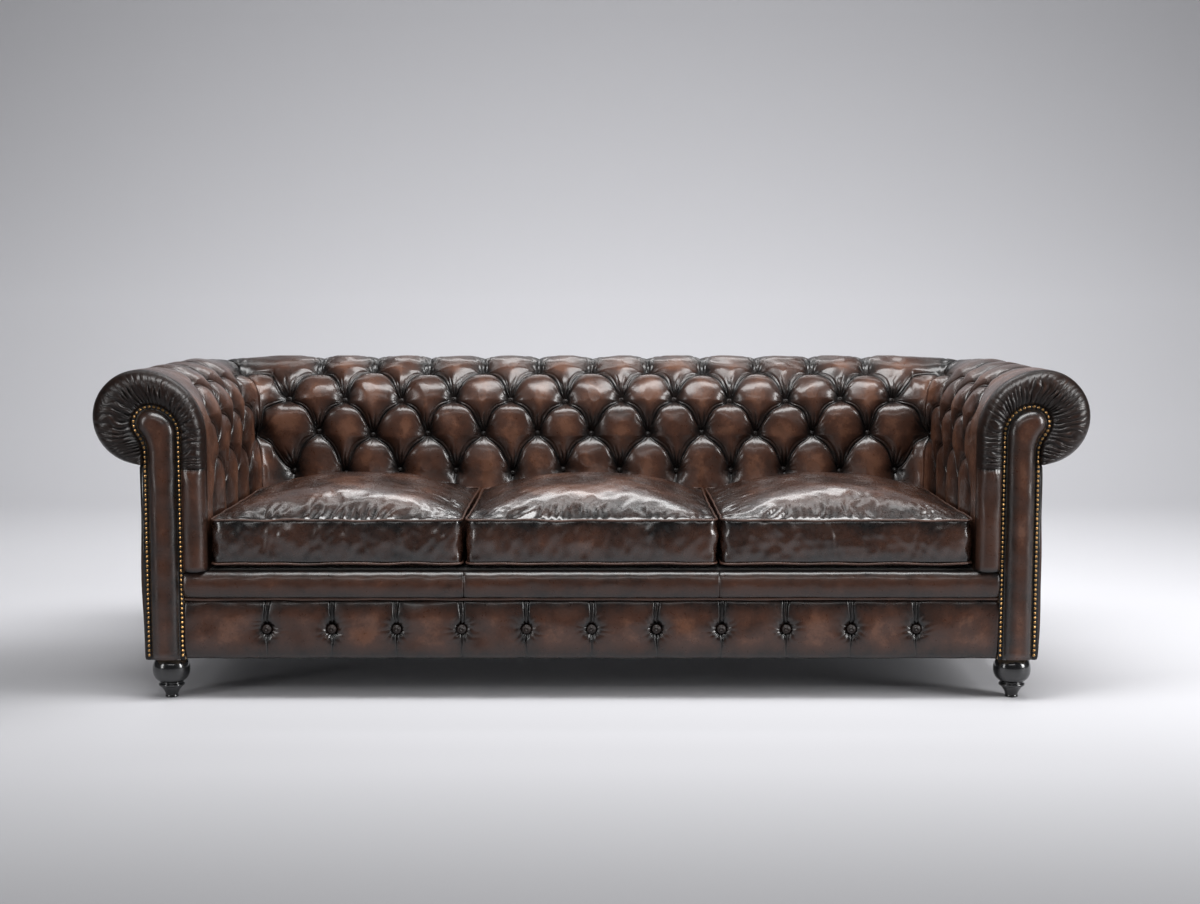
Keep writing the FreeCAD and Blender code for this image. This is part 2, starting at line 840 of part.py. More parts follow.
def outline(x0, inset, z, corner, bow):
    """A cushion's outline at one height: sides drawn in by arcs, which meet round corners smoothly.

    The bow is the angle, in radians, between a side's arc and its chord at the corner.
    """
    x1, y0, y1 = x0 + cushion_width - inset, cushion_front + inset, cushion_back - inset
    x0 = x0 + inset
    mx, my = (x0 + x1) / 2, (y0 + y1) / 2
    draw_x = ((x1 - x0) / 2 - corner) * math.tan(bow / 2)
    draw_y = ((y1 - y0) / 2 - corner) * math.tan(bow / 2)
    middles = [(mx, y0 + draw_x), (x1 - draw_y, my), (mx, y1 - draw_x), (x0 + draw_y, my)]
    round_in = corner / 2 * (1 - math.tan(math.pi / 8 + bow / 2))
    stops = []
    corners = [(x1, y0, -1, 1), (x1, y1, -1, -1), (x0, y1, 1, -1), (x0, y0, 1, 1)]
    for index, (x, y, side_x, side_y) in enumerate(corners):
        along_x, along_y = Vector(x + side_x * corner, y, z), Vector(x, y + side_y * corner, z)
        middle = Vector(x + side_x * round_in, y + side_y * round_in, z)
        stops.append((along_x, middle, along_y) if index % 2 == 0 else (along_y, middle, along_x))
    edges = []
    for index, (start, middle, end) in enumerate(stops):
        side = middles[index]
        edges.append(curve(stops[index - 1][2], Vector(side[0], side[1], z), start))
        edges.append(curve(start, middle, end))
    return Part.Wire(edges)


def cushion_form(x0, sink):
    """A boxed cushion: a belly, boxing that bulges between its seams, and a crown above them."""
    seam_inset = 2 * piping_radius + piping_gap + sink
    seam_corner = cushion_corner - seam_inset
    middle = (low_seam + high_seam) / 2
    wires = [
        outline(x0, seam_inset + belly_inset, cushion_bottom + sink, seam_corner, side_bow),
        outline(x0, seam_inset, low_seam, seam_corner, side_bow),
        outline(x0, seam_inset - boxing_bulge, middle, seam_corner, side_bow),
        outline(x0, seam_inset, high_seam, seam_corner, side_bow),
    ]
    for ring in range(1, crown_rings + 1):
        share = (ring / crown_rings) ** crown_spacing
        inset = seam_inset + share * crown_reach
        rise = (cushion_crown - sink) * (1 - (1 - share) ** crown_power)
        roundest = crown_corner_share * (cushion_width / 2 - inset)
        corner = seam_corner + share * (roundest - seam_corner)
        wires.append(outline(x0, inset, high_seam + rise, corner, (1 - share) * side_bow))
    return loft(wires)


def cushion_piping(x0):
    """Two welts, one round each seam."""
    rings = []
    for z in (low_seam, high_seam):
        path = outline(x0, piping_radius, z, cushion_corner - piping_radius, side_bow)
        first = path.Edges[0]
        towards = first.tangentAt(first.FirstParameter)
        ring = Part.Wire(Part.makeCircle(piping_radius, first.valueAt(first.FirstParameter), towards))
        rings.append(path.makePipeShell([ring], True, False))
    return rings


def write_cushions():
    for index, name in enumerate(["left", "centre", "right"]):
        x0 = -seat_half + arm_clearance + index * (cushion_width + cushion_gap)
        write(name + "_cushion_cover", cushion_form(x0, 0.0).cut(cushion_form(x0, cover_thickness)))
        write(name + "_cushion_core", cushion_form(x0, cover_thickness + core_clearance))
        write(name + "_cushion_piping", cushion_piping(x0))


# Pieces by group


def write_frame():
    post_x = seat_half + board_u - front_post_width
    post_rear = layer_y + front_post_depth
    rail_x, rail_back = seat_half + timber_u, wall - top_rail_inset
    write("front_rail", box(-post_x, post_x, layer_y, spring_front_y, base_height, frame_top))
    write("rear_rail", box(-corner_x, corner_x, back_y + timber_u, back_y + board_u, base_height, frame_top))
    side_rail = box(rail_x, seat_half + board_u, post_rear, corner_y, base_height, frame_top)
    write("left_side_rail", mirrored(side_rail))
    write("right_side_rail", side_rail)
    write("seat_cross_rails", cross_rails())
    low_block = corner_ring(timber_u, board_u, base_height, frame_top).cut(stud(foot_spots()[1]))
    high_block = corner_ring(timber_u, skin_u, top_rail_bottom, top_rail_z)
    write("corner_blocks", both_sides([low_block, high_block, front_brace()]))
    write("rear_posts", both_sides([rear_post()]))
    write("arm_posts", both_sides(arm_posts()))
    write("back_uprights", back_uprights())
    rear = back_y + rail_back
    write("back_top_rail", box(-corner_x, corner_x, back_y + timber_u, rear, top_rail_bottom, top_rail_z))
    arm_rail = box(rail_x, seat_half + rail_back, layer_y, corner_y, top_rail_bottom, top_rail_z)
    write("left_arm_top_rail", mirrored(arm_rail))
    write("right_arm_top_rail", arm_rail)
    write("tack_rails", tack_rails())
    front = facing_plate(nail_margin, board_y, front_board)
    write("left_arm_front_board", mirrored(front))
    write("right_arm_front_board", front)
    write("back_webbing", back_straps())
    write("arm_webbing", both_sides(arm_straps()))


def seat_deck():
    """The padded deck under the cushions, rounded at the rear to clear the walls' inside corners."""
    half, rear = seat_half - deck_side_gap, back_y - deck_side_gap
    deck = box(-half, half, layer_y, rear, deck_bottom, deck_top)
    upright = [e for e in deck.Edges if e.BoundBox.ZLength > 1 and e.CenterOfMass.y > rear - 1]
    return deck.makeFillet(inside_corner_radius, upright)


def dust_cover():
    """The cloth stapled under the frame, clear of the four feet."""
    front, rear = foot_spots()
    room = foot_neck_radius + dust_cover_margin
    z0, z1 = base_height - dust_cover_thickness, base_height
    half, wide = min(front[0], rear[0]) - room, seat_half + board_u - dust_cover_margin
    rear_y = back_y + board_u - dust_cover_margin
    middle = box(-half, half, layer_y + dust_cover_margin, rear_y, z0, z1)
    return middle.fuse(box(-wide, wide, front[1] + room, rear[1] - room, z0, z1)).removeSplitter()


def write_seat():
    write("seat_springs", [zigzag_spring(x) for x in spring_places()])
    write("spring_clips", spring_clips())
    write("seat_deck", seat_deck())
    write("dust_cover", dust_cover())
    write("front_rail_cover", front_rail_cover().cut(border_piping()))
    write("front_rail_buttons", rail_buttons())
    write("front_border", border())
    write("front_border_piping", border_piping())


def write_walls():
    write("inside_back_cover", loft([cover_wire(t) for t in back_runs()]))
    write("back_pad", loft([pad_wire(t) for t in back_runs()]))
    for name, wire in (("inside_arm_cover", cover_wire), ("arm_pad", pad_wire)):
        piece = loft([wire(t) for t in arm_runs()])
        write("left_" + name, mirrored(piece))
        write("right_" + name, piece)
    write("back_buttons", lattice_buttons(-2 * columns_per_half, 2 * columns_per_half))
    arm_buttons = lattice_buttons(2 * columns_per_half + 1, last_column)
    write("left_arm_buttons", [mirrored(b) for b in arm_buttons])
    write("right_arm_buttons", arm_buttons)


def write_outside():
    top = roll_bottom - skin_gap
    back_board = box(-corner_x, corner_x, back_y + board_u, back_y + skin_u, base_height, top_rail_bottom)
    arm_board = box(seat_half + board_u, seat_half + skin_u, layer_y, corner_y, base_height, top_rail_bottom)
    corner_board = corner_ring(board_u, skin_u, base_height, top_rail_bottom)
    write("backing_boards", [back_board] + both_sides([arm_board, corner_board]))
    back = box(-corner_x, corner_x, back_y + skin_u, back_y + wall, base_height, top)
    corner = corner_ring(skin_u, wall, base_height, top)
    write("outside_back_cover", back.fuse(corner).fuse(mirrored(corner)).removeSplitter())
    arm = box(seat_half + skin_u, seat_half + wall, flange_y, corner_y, base_height, top)
    arm = arm.fuse(box(seat_half + board_u, seat_half + wall, flange_y, layer_y, base_height, top))
    write("left_outside_arm_cover", mirrored(arm.removeSplitter()))
    write("right_outside_arm_cover", arm.removeSplitter())


def write_arm_fronts():
    pieces = {
        "scroll_pleats": [scroll_pad()],
        "arm_lower_front": [lower_front()],
        "facing_panel": [facing_panel()],
        "facing_nails": facing_nails(),
    }
    for name, shapes in pieces.items():
        write("left_" + name, [mirrored(s) for s in shapes])
        write("right_" + name, shapes)


def write_feet():
    for place, spot in zip(("front", "rear"), foot_spots()):
        write("right_" + place + "_foot", foot(spot))
        write("left_" + place + "_foot", mirrored(foot(spot)))
    write("foot_studs", both_sides([stud(spot) for spot in foot_spots()]))


def main():
    os.makedirs("parts", exist_ok=True)
    write_frame()
    write_seat()
    write_walls()
    write_outside()
    write_arm_fronts()
    write_feet()
    write_cushions()


main()
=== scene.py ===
import math

import bpy
import numpy as np
from bpy.props import FloatProperty, FloatVectorProperty, IntProperty, PointerProperty
from bpy.types import Operator, Panel, PropertyGroup
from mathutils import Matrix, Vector


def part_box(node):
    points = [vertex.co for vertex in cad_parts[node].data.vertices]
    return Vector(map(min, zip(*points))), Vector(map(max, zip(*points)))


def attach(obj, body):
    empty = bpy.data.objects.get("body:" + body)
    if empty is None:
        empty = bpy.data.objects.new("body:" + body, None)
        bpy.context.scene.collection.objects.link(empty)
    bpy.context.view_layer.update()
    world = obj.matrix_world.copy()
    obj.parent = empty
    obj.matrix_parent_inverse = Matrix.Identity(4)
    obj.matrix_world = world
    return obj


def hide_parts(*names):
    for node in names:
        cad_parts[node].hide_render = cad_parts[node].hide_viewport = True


bl_info = {
    "name": "Chesterfield Sofa Dressing",
    "version": (1, 0, 0),
    "blender": (4, 5, 0),
    "location": "3D View > Sidebar > Sofa",
    "description": "Tufted leather, loose cushions, nailed arm fronts and turned feet on a packed sofa frame",
    "category": "Add Mesh",
}

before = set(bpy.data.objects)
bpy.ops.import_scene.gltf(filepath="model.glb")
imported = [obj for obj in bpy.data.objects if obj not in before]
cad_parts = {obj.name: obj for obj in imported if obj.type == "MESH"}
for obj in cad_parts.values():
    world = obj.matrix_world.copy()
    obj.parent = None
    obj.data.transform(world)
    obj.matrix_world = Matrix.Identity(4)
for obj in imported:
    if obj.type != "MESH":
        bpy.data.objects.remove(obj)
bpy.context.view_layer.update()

# The frame's places, in metres: the walls share one section of points (u, z), where u is the depth
# into the wall from its inside face and s the length up and over that section.
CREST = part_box("inside_back_cover")[1].z
WALL = 0.150
ROLL = 0.107
CORNER_RADIUS = 0.030
SEAT_HALF = 0.877
BACK_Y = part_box("inside_back_cover")[1].y - WALL - ROLL
LAYER_Y = -0.420
BOARD_Y = -0.440
FLANGE_Y = -0.443
PAD_U = 0.093
BASE_Z = 0.096
BORDER_LOW = 0.236
BORDER_TOP = 0.300
TUCK_Z = 0.290
SEAM_Z = 0.537
OUTSIDE_TOP = 0.5457

ARC_Z = CREST - WALL
ROLL_Z = CREST - ROLL
CREST_S = ARC_Z + WALL * math.pi / 2
OUTER_S = CREST_S + ROLL * math.pi / 2
END_S = CREST_S + ROLL * math.pi
CORNER_X = SEAT_HALF - CORNER_RADIUS
CORNER_Y = BACK_Y - CORNER_RADIUS
CORNER_RUN = CORNER_RADIUS * math.pi / 2
FRONT_RUN = CORNER_X + CORNER_RUN + CORNER_Y - LAYER_Y

# The buttons' lattice: columns along the run, rows up the section
CORNER_COLUMN = 12
LAST_COLUMN = 19
COLUMN_STEP = (CORNER_X + CORNER_RUN / 2) / CORNER_COLUMN
ROW_COUNT = 4
FIRST_ROW = 0.459
ROW_PITCH = 0.099
TOP_ROW = FIRST_ROW + (ROW_COUNT - 1) * ROW_PITCH

# Outline of the strip on each arm's front
STRIP_IN = 0.0595
STRIP_OUT = 0.136
HEAD_TOP = 0.6775
HEAD_IN = 0.0625
HEAD_OUT = 0.038
HEAD_U = STRIP_IN + HEAD_IN
HEAD_LOW = HEAD_TOP - HEAD_IN
HEAD_HIGH = HEAD_TOP - HEAD_OUT
LEAVE = math.radians(40)
NECK = (HEAD_U + HEAD_OUT * math.cos(LEAVE) - STRIP_OUT) / (1 - math.cos(LEAVE))
NECK_U = STRIP_OUT + NECK
NECK_Z = HEAD_HIGH - (HEAD_OUT + NECK) * math.sin(LEAVE)


# Small helpers


def smooth_step(low, high, value):
    """0 below low, 1 above high and 3x^2 - 2x^3 between."""
    x = np.clip((value - low) / (high - low), 0.0, 1.0)
    return x * x * (3 - 2 * x)


def ripple(points, wavelength, seed, count=16):
    """A smooth random field about one unit high: the sum of plane sine waves of random direction."""
    rng = np.random.default_rng(seed)
    towards = rng.normal(size=(count, points.shape[-1]))
    towards /= np.linalg.norm(towards, axis=1)[:, None]
    towards *= (2 * math.pi / wavelength) * rng.uniform(0.6, 1.5, count)[:, None]
    phases = rng.uniform(0, 2 * math.pi, count)
    total = np.zeros(points.shape[:-1])
    for along, phase in zip(towards, phases):
        total += np.sin(points @ along + phase)
    return total / math.sqrt(count / 2)


def grid_faces(rows, columns, wrap_rows=False, wrap_columns=False):
    """Quads over a grid of vertices numbered row by row."""
    i = np.arange(rows if wrap_rows else rows - 1)
    j = np.arange(columns if wrap_columns else columns - 1)
    i, j = np.meshgrid(i, j, indexing="ij")
    i2, j2 = (i + 1) % rows, (j + 1) % columns
    quads = [i * columns + j, i2 * columns + j, i2 * columns + j2, i * columns + j2]
    return np.stack(quads, axis=-1).reshape(-1, 4)


def signed_volume(points, faces):
    """The volume within closed faces, negative where they point inwards."""
    total = 0.0
    for group in faces:
        a = points[group[:, 0]]
        for k in range(1, group.shape[1] - 1):
            cross = np.cross(points[group[:, k]], points[group[:, k + 1]])
            total += float(np.einsum("ij,ij->i", a, cross).sum())
    return total / 6


def new_piece(name, points, faces, finish, values=None):
    """A closed, smooth mesh object of points and groups of equal faces, facing outwards."""
    points = np.asarray(points, float).reshape(-1, 3)
    faces = [np.asarray(group, np.int64) for group in faces if len(group)]
    if signed_volume(points, faces) < 0:
        faces = [group[:, ::-1] for group in faces]
    loops = np.concatenate([group.ravel() for group in faces])
    sizes = np.concatenate([np.full(len(group), group.shape[1]) for group in faces])
    mesh = bpy.data.meshes.new(name)
    mesh.vertices.add(len(points))
    mesh.vertices.foreach_set("co", points.astype(np.float32).ravel())
    mesh.loops.add(len(loops))
    mesh.loops.foreach_set("vertex_index", loops.astype(np.int32))
    mesh.polygons.add(len(sizes))
    mesh.polygons.foreach_set("loop_start", (np.cumsum(sizes) - sizes).astype(np.int32))
    mesh.polygons.foreach_set("use_smooth", np.ones(len(sizes), bool))
    mesh.update(calc_edges=True)
    if mesh.validate():
        raise RuntimeError(f"{name} has faces that aren't sound")
    for key, value in (values or {}).items():
        layer = mesh.attributes.new(key, "FLOAT", "POINT")
        layer.data.foreach_set("value", np.asarray(value, np.float32).ravel())
    piece = bpy.data.objects.new(name, mesh)
    bpy.context.scene.collection.objects.link(piece)
    mesh.materials.append(finish)
    return piece


def end_cap(count, ring):
    """Triangles across an open end whose ring is a flat, nearly round outline."""
    ring = np.asarray(ring)
    k = np.arange(1, count - 1)
    return np.stack([np.full(count - 2, ring[0]), ring[k], ring[k + 1]], axis=-1)


def drawn_piece(name, loop, finish, rubbing_and_painted_light):
    """A closed piece whose loop of points is carried along a path: its sides and a flat cap at each end."""
    count, across = loop.shape[:2]
    ids = np.arange(across)
    caps = [end_cap(across, ids), end_cap(across, ids)[:, ::-1] + (count - 1) * across]
    return new_piece(name, loop, [grid_faces(count, across, wrap_columns=True)] + caps, finish, {"rubbing_and_painted_light": rubbing_and_painted_light})


def backed(front, plane_y):
    """The loop of a front's points with both its edges carried straight back to a plane."""
    rear = np.stack([front[:, -1], front[:, 0]], axis=1)
    rear[:, :, 1] = plane_y
    return np.concatenate([front, rear], axis=1)


def zipped_cap(outer, inner, outer_s, inner_s):
    """Triangles between two lines of vertices, matched by their lengths along the section."""
    match = np.searchsorted(inner_s, outer_s, side="right") - 1
    match = np.clip(match, 0, len(inner) - 1)
    a = np.stack([outer[:-1], outer[1:], inner[match[1:]]], axis=-1)
    move = np.nonzero(match[1:] != match[:-1])[0]
    b = [np.stack([outer[move], inner[match[move + 1]], inner[match[move]]], axis=-1)] if len(move) else []
    return np.concatenate([a] + b)


def tube_loop(path, outward, up, radius, sides=12):
    """A closed welt: a circle of that radius carried round a closed path, in the plane of outward and up."""
    turn = np.arange(sides) * 2 * math.pi / sides
    ring = np.cos(turn)[None, :, None] * outward[:, None, :] + np.sin(turn)[None, :, None] * up
    return path[:, None, :] + radius * ring


def domes(spots, outward, profile, sides=14):
    """Turned forms on many spots: each takes the profile (radius, height) round its own outward line."""
    outward = outward / np.linalg.norm(outward, axis=1)[:, None]
    helper = np.where(np.abs(outward[:, 2:3]) > 0.9, [[0.0, 1.0, 0.0]], [[0.0, 0.0, 1.0]])
    across = np.cross(outward, helper)
    across /= np.linalg.norm(across, axis=1)[:, None]
    other = np.cross(outward, across)
    turn = np.arange(sides) * 2 * math.pi / sides
    ring = np.cos(turn)[None, :, None] * across[:, None, :] + np.sin(turn)[None, :, None] * other[:, None, :]
    radii, heights = np.asarray(profile, float).T
    body = (
        spots[:, None, None, :]
        + radii[None, :, None, None] * ring[:, None, :, :]
        + heights[None, :, None, None] * outward[:, None, None, :]
    )
    poles = spots[:, None, :] + np.array([heights[0], heights[-1]])[None, :, None] * outward[:, None, :]
    count, rows = len(spots), len(radii)
    per = rows * sides + 2
    points = np.concatenate([body.reshape(count, rows * sides, 3), poles], axis=1).reshape(-1, 3)
    quads = grid_faces(rows, sides, wrap_columns=True)
    j = np.arange(sides)
    j2 = (j + 1) % sides
    low = np.stack([np.full(sides, rows * sides), j2, j], axis=-1)
    last = (rows - 1) * sides
    high = np.stack([np.full(sides, rows * sides + 1), last + j, last + j2], axis=-1)
    shift = (np.arange(count) * per)[:, None, None]
    return points, [(quads + shift).reshape(-1, 4), (np.concatenate([low, high]) + shift).reshape(-1, 3)]


# Places on the walls


def section(s, inward):
    """(u, z) at length s: up the inside face, a quarter turn of the wall's depth, then half of the roll."""
    s, inward = np.broadcast_arrays(np.asarray(s, float), np.asarray(inward, float))
    arc = np.clip((s - ARC_Z) / WALL, 0, math.pi / 2)
    roll = np.clip((s - CREST_S) / ROLL, 0, math.pi)
    u = np.where(s <= ARC_Z, inward, WALL - (WALL - inward) * np.cos(arc))
    z = np.where(s <= ARC_Z, s, ARC_Z + (WALL - inward) * np.sin(arc))
    over = s > CREST_S
    u = np.where(over, WALL + (ROLL - inward) * np.sin(roll), u)
    z = np.where(over, ROLL_Z + (ROLL - inward) * np.cos(roll), z)
    return u, z


def station(t, u):
    """(x, y) at run t from the middle of the back and depth u: straight, a quarter turn, straight."""
    t, u = np.broadcast_arrays(np.asarray(t, float), np.asarray(u, float))
    side, run = np.where(t < 0, -1.0, 1.0), np.abs(t)
    turn = np.clip((run - CORNER_X) / CORNER_RADIUS, 0, math.pi / 2)
    reach = CORNER_RADIUS + u
    x = np.minimum(run, CORNER_X) + reach * np.sin(turn)
    y = CORNER_Y + reach * np.cos(turn) - np.maximum(run - CORNER_X - CORNER_RUN, 0.0)
    return side * x, y


def wall_point(t, s, inward):
    """The point at run t and length s, sunk inward from the wall's outer line."""
    u, z = section(s, inward)
    x, y = station(t, u)
    return np.stack(np.broadcast_arrays(x, y, z), axis=-1)


def eased(x):
    """Keeps whole numbers and gathers what lies between towards them: x - 0.35 sin(2 pi x) / 2 pi."""
    return x - 0.35 * np.sin(2 * math.pi * x) / (2 * math.pi)


CORNER_SHARE = 0.45
DIAMOND_HALF = 0.0585
FUNNEL_REACH = 0.021
SEWN_LIP = 0.0038
SEWN_LINE = 0.0072


def run_of(column):
    """Run t of a lattice column, with the corner's quarter turn given more than its share of the grid."""
    side, c = np.where(column < 0, -1.0, 1.0), np.abs(column)
    low, high = CORNER_COLUMN - 1, CORNER_COLUMN + 1
    stops = [low, low + CORNER_SHARE, CORNER_COLUMN, high - CORNER_SHARE, high]
    turn_end = CORNER_X + CORNER_RUN
    runs = [low * COLUMN_STEP, CORNER_X, CORNER_COLUMN * COLUMN_STEP, turn_end, high * COLUMN_STEP]
    return side * np.where((c > low) & (c < high), np.interp(c, stops, runs), COLUMN_STEP * eased(c))


def length_of(row):
    """Length s of a lattice row: the tuck at -1, the rows of buttons from 0, and even steps over the roll."""
    below = FIRST_ROW + row * (FIRST_ROW - TUCK_Z)
    above = FIRST_ROW + row * ROW_PITCH
    inside = FIRST_ROW + eased(row) * ROW_PITCH
    return np.where(row < 0, below, np.where(row > ROW_COUNT - 1, above, inside))


def lattice_place(column, row):
    """(t, s) of a lattice place: rows and columns stray a little, and folds bow outwards between buttons."""
    t, s = run_of(column), length_of(row)
    spot = np.stack([t, s], axis=-1)
    c = np.abs(column)
    calm = smooth_step(-1.0, 0.0, row) * (1 - smooth_step(3.4, 4.4, row))
    calm = calm * smooth_step(0.0, 0.8, np.abs(c - CORNER_COLUMN)) * (1 - smooth_step(19.2, 20.0, c))
    t = t + 0.0028 * ripple(spot, 0.26, 11) * calm
    s = s + 0.0030 * ripple(spot, 0.26, 12) * calm
    cell_c, cell_r = np.floor(c), np.floor(row)
    bow = np.abs(np.sin(math.pi * c) * np.sin(math.pi * row)) ** 1.6
    bow = bow * ((row > 0) & (row < ROW_COUNT - 1) & (c < LAST_COLUMN))
    lean = np.where((cell_c + cell_r) % 2 == 1, -1.0, 1.0)
    return t + np.sign(column) * 0.0060 * lean * bow, s + 0.0125 * bow


def wrapped(x):
    return x - 2 * np.round(x / 2)


def nearest_button(column, row, points):
    """Distance, sideways and upward parts and a number for the nearest button of the lattice."""
    best = np.full(column.shape, 1e3)
    across, upward, number = np.zeros(column.shape), np.zeros(column.shape), np.zeros(column.shape)
    t, s = lattice_place(column, row)
    base = np.clip(np.floor(row), 0, ROW_COUNT - 1)
    for other in (base, np.clip(base + 1, 0, ROW_COUNT - 1)):
        parity = np.mod(other + 1, 2)
        nearest = 2 * np.round((column - parity) / 2) + parity
        last = LAST_COLUMN - np.mod(other + 1 + LAST_COLUMN, 2)
        nearest = np.clip(nearest, -last, last)
        button_t, button_s = lattice_place(nearest, other)
        spot = wall_point(button_t, button_s, 0.0)
        distance = np.linalg.norm(points - spot, axis=-1)
        closer = distance < best
        best = np.where(closer, distance, best)
        rise = s - button_s
        aside = np.sqrt(np.maximum(distance**2 - rise**2, 0.0)) * np.sign(t - button_t)
        across, upward = np.where(closer, aside, across), np.where(closer, rise, upward)
        number = np.where(closer, 37.0 * nearest + 11.0 * other, number)
    return best, across, upward, number


def tuft(column, row, looks):
    """Depth of the tufted leather under its outer line, and its share of rubbing and painted light, at lattice
    places.

    With p and q a place's offsets along the two diagonals of its diamond, both from -1 to 1, the pillow
    is ((1 - p)(1 + q))^a ((1 + p)(1 - q))^b. Folds lie where it is 0. Each button adds a funnel, and
    folds fan out above it.
    """
    t, s = lattice_place(column, row)
    points = wall_point(t, s, 0.0)
    c = np.clip(np.abs(column), 0, LAST_COLUMN)
    r = np.clip(row, 0, ROW_COUNT - 1)
    p, q = wrapped(c + r), wrapped(c - r)
    upper = np.maximum((1 - p) * (1 + q), 0.0)
    lower = np.maximum((1 + p) * (1 - q), 0.0)
    pillow = np.minimum(upper**looks.upper_fullness * lower**looks.lower_fullness, 1.08)

    fold = np.full(row.shape, looks.fold_depth)
    below = np.clip(-row, 0, 1)
    fold = fold * (1 - 0.62 * below)
    over = np.maximum(row - (ROW_COUNT - 1), 0.0)
    crest_fold = looks.pleat_depth + (looks.fold_depth - looks.pleat_depth) * np.exp(-over / 0.35)
    fold = np.where(over > 0, crest_fold, fold)
    fold = fold * (1 - smooth_step(2.0, 4.25, over))

    past = np.maximum(np.abs(column) - LAST_COLUMN, 0.0)
    fade = np.exp(-((past / 0.42) ** 2))
    depth = fold * (1 - pillow) * fade

    distance, across, upward, number = nearest_button(column, row, points)
    depth = depth + (looks.button_depth - looks.fold_depth) * np.exp(-((distance / FUNNEL_REACH) ** 1.4)) * fade
    from_fold = DIAMOND_HALF * np.minimum(1 + p, 1 - q)
    lip = 0.0021 * np.exp(-(((from_fold - SEWN_LINE) / 0.0017) ** 2))
    lip = lip - 0.0012 * np.exp(-(((from_fold - SEWN_LIP) / 0.0016) ** 2))
    depth = depth + lip * smooth_step(0.012, 0.026, distance) * fade * ((row > 0) & (over <= 0))

    phase = 2.1 * np.sin(number) + 0.5 * ripple(points, 0.05, 21)
    angle = np.arctan2(across, upward)
    fan = 0.30 - (1 - np.abs(np.sin(10.5 * angle + phase))) ** 1.4
    reach = smooth_step(0.006, 0.018, distance) * np.exp(-((distance / 0.052) ** 3))
    fan = fan * reach * np.exp(-((angle / 0.66) ** 4)) * (over <= 0)
    rays = 0.35 - (1 - np.abs(np.sin(5.5 * angle + 1.7 * phase))) ** 1.6
    rays = rays * smooth_step(0.005, 0.012, distance) * np.exp(-((distance / 0.024) ** 2)) * 0.5
    spread = 0.006 + 0.20 * np.maximum(upward, 0.0)
    comb = across / spread
    pleats = 0.35 - (1 - np.abs(np.sin(2.6 * comb + phase))) ** 1.5
    pleats = pleats * np.exp(-((comb / 1.5) ** 4)) * (over > 0)
    pleats = pleats * np.exp(-over / 1.6) * smooth_step(0.004, 0.012, distance)
    depth = depth - looks.fan_depth * (fan + 0.5 * rays + 0.7 * pleats)

    depth = depth + 0.0012 * ripple(points, 0.075, 31) * np.clip(pillow, 0, 1) * fade
    depth = depth + 0.0009 * (ripple(points, 0.11, 33) + 1.0) * (1 - fade)
    seam = np.exp(-(((np.abs(column) - CORNER_COLUMN) / 0.035) ** 2))
    depth = depth + 0.0030 * seam
    flame = np.hypot(across / 0.023, upward / np.where(upward > 0, 0.042, 0.017))
    # Rubbing and painted light: lighter on the full pillows; painted shade round each button's funnel, in the
    # fans' and pleats' valleys, along the corner seam and over the crest's roll.
    rubbing_and_painted_light = np.clip(pillow, 0, 1) ** 1.5 * (1 - 0.95 * np.exp(-(flame**2)))
    rubbing_and_painted_light = np.where(past > 0, 1 - (1 - rubbing_and_painted_light) * fade, rubbing_and_painted_light)
    rubbing_and_painted_light = rubbing_and_painted_light + 0.9 * np.minimum(fan + rays + pleats, 0) - 0.35 * seam
    rubbing_and_painted_light = rubbing_and_painted_light * (1 - 0.28 * smooth_step(0.0, 0.5, over))
    end = smooth_step(4.0, 4.28, over)
    return np.maximum(depth, 0.0) * (1 - end), np.clip(rubbing_and_painted_light, 0, 1), t, s


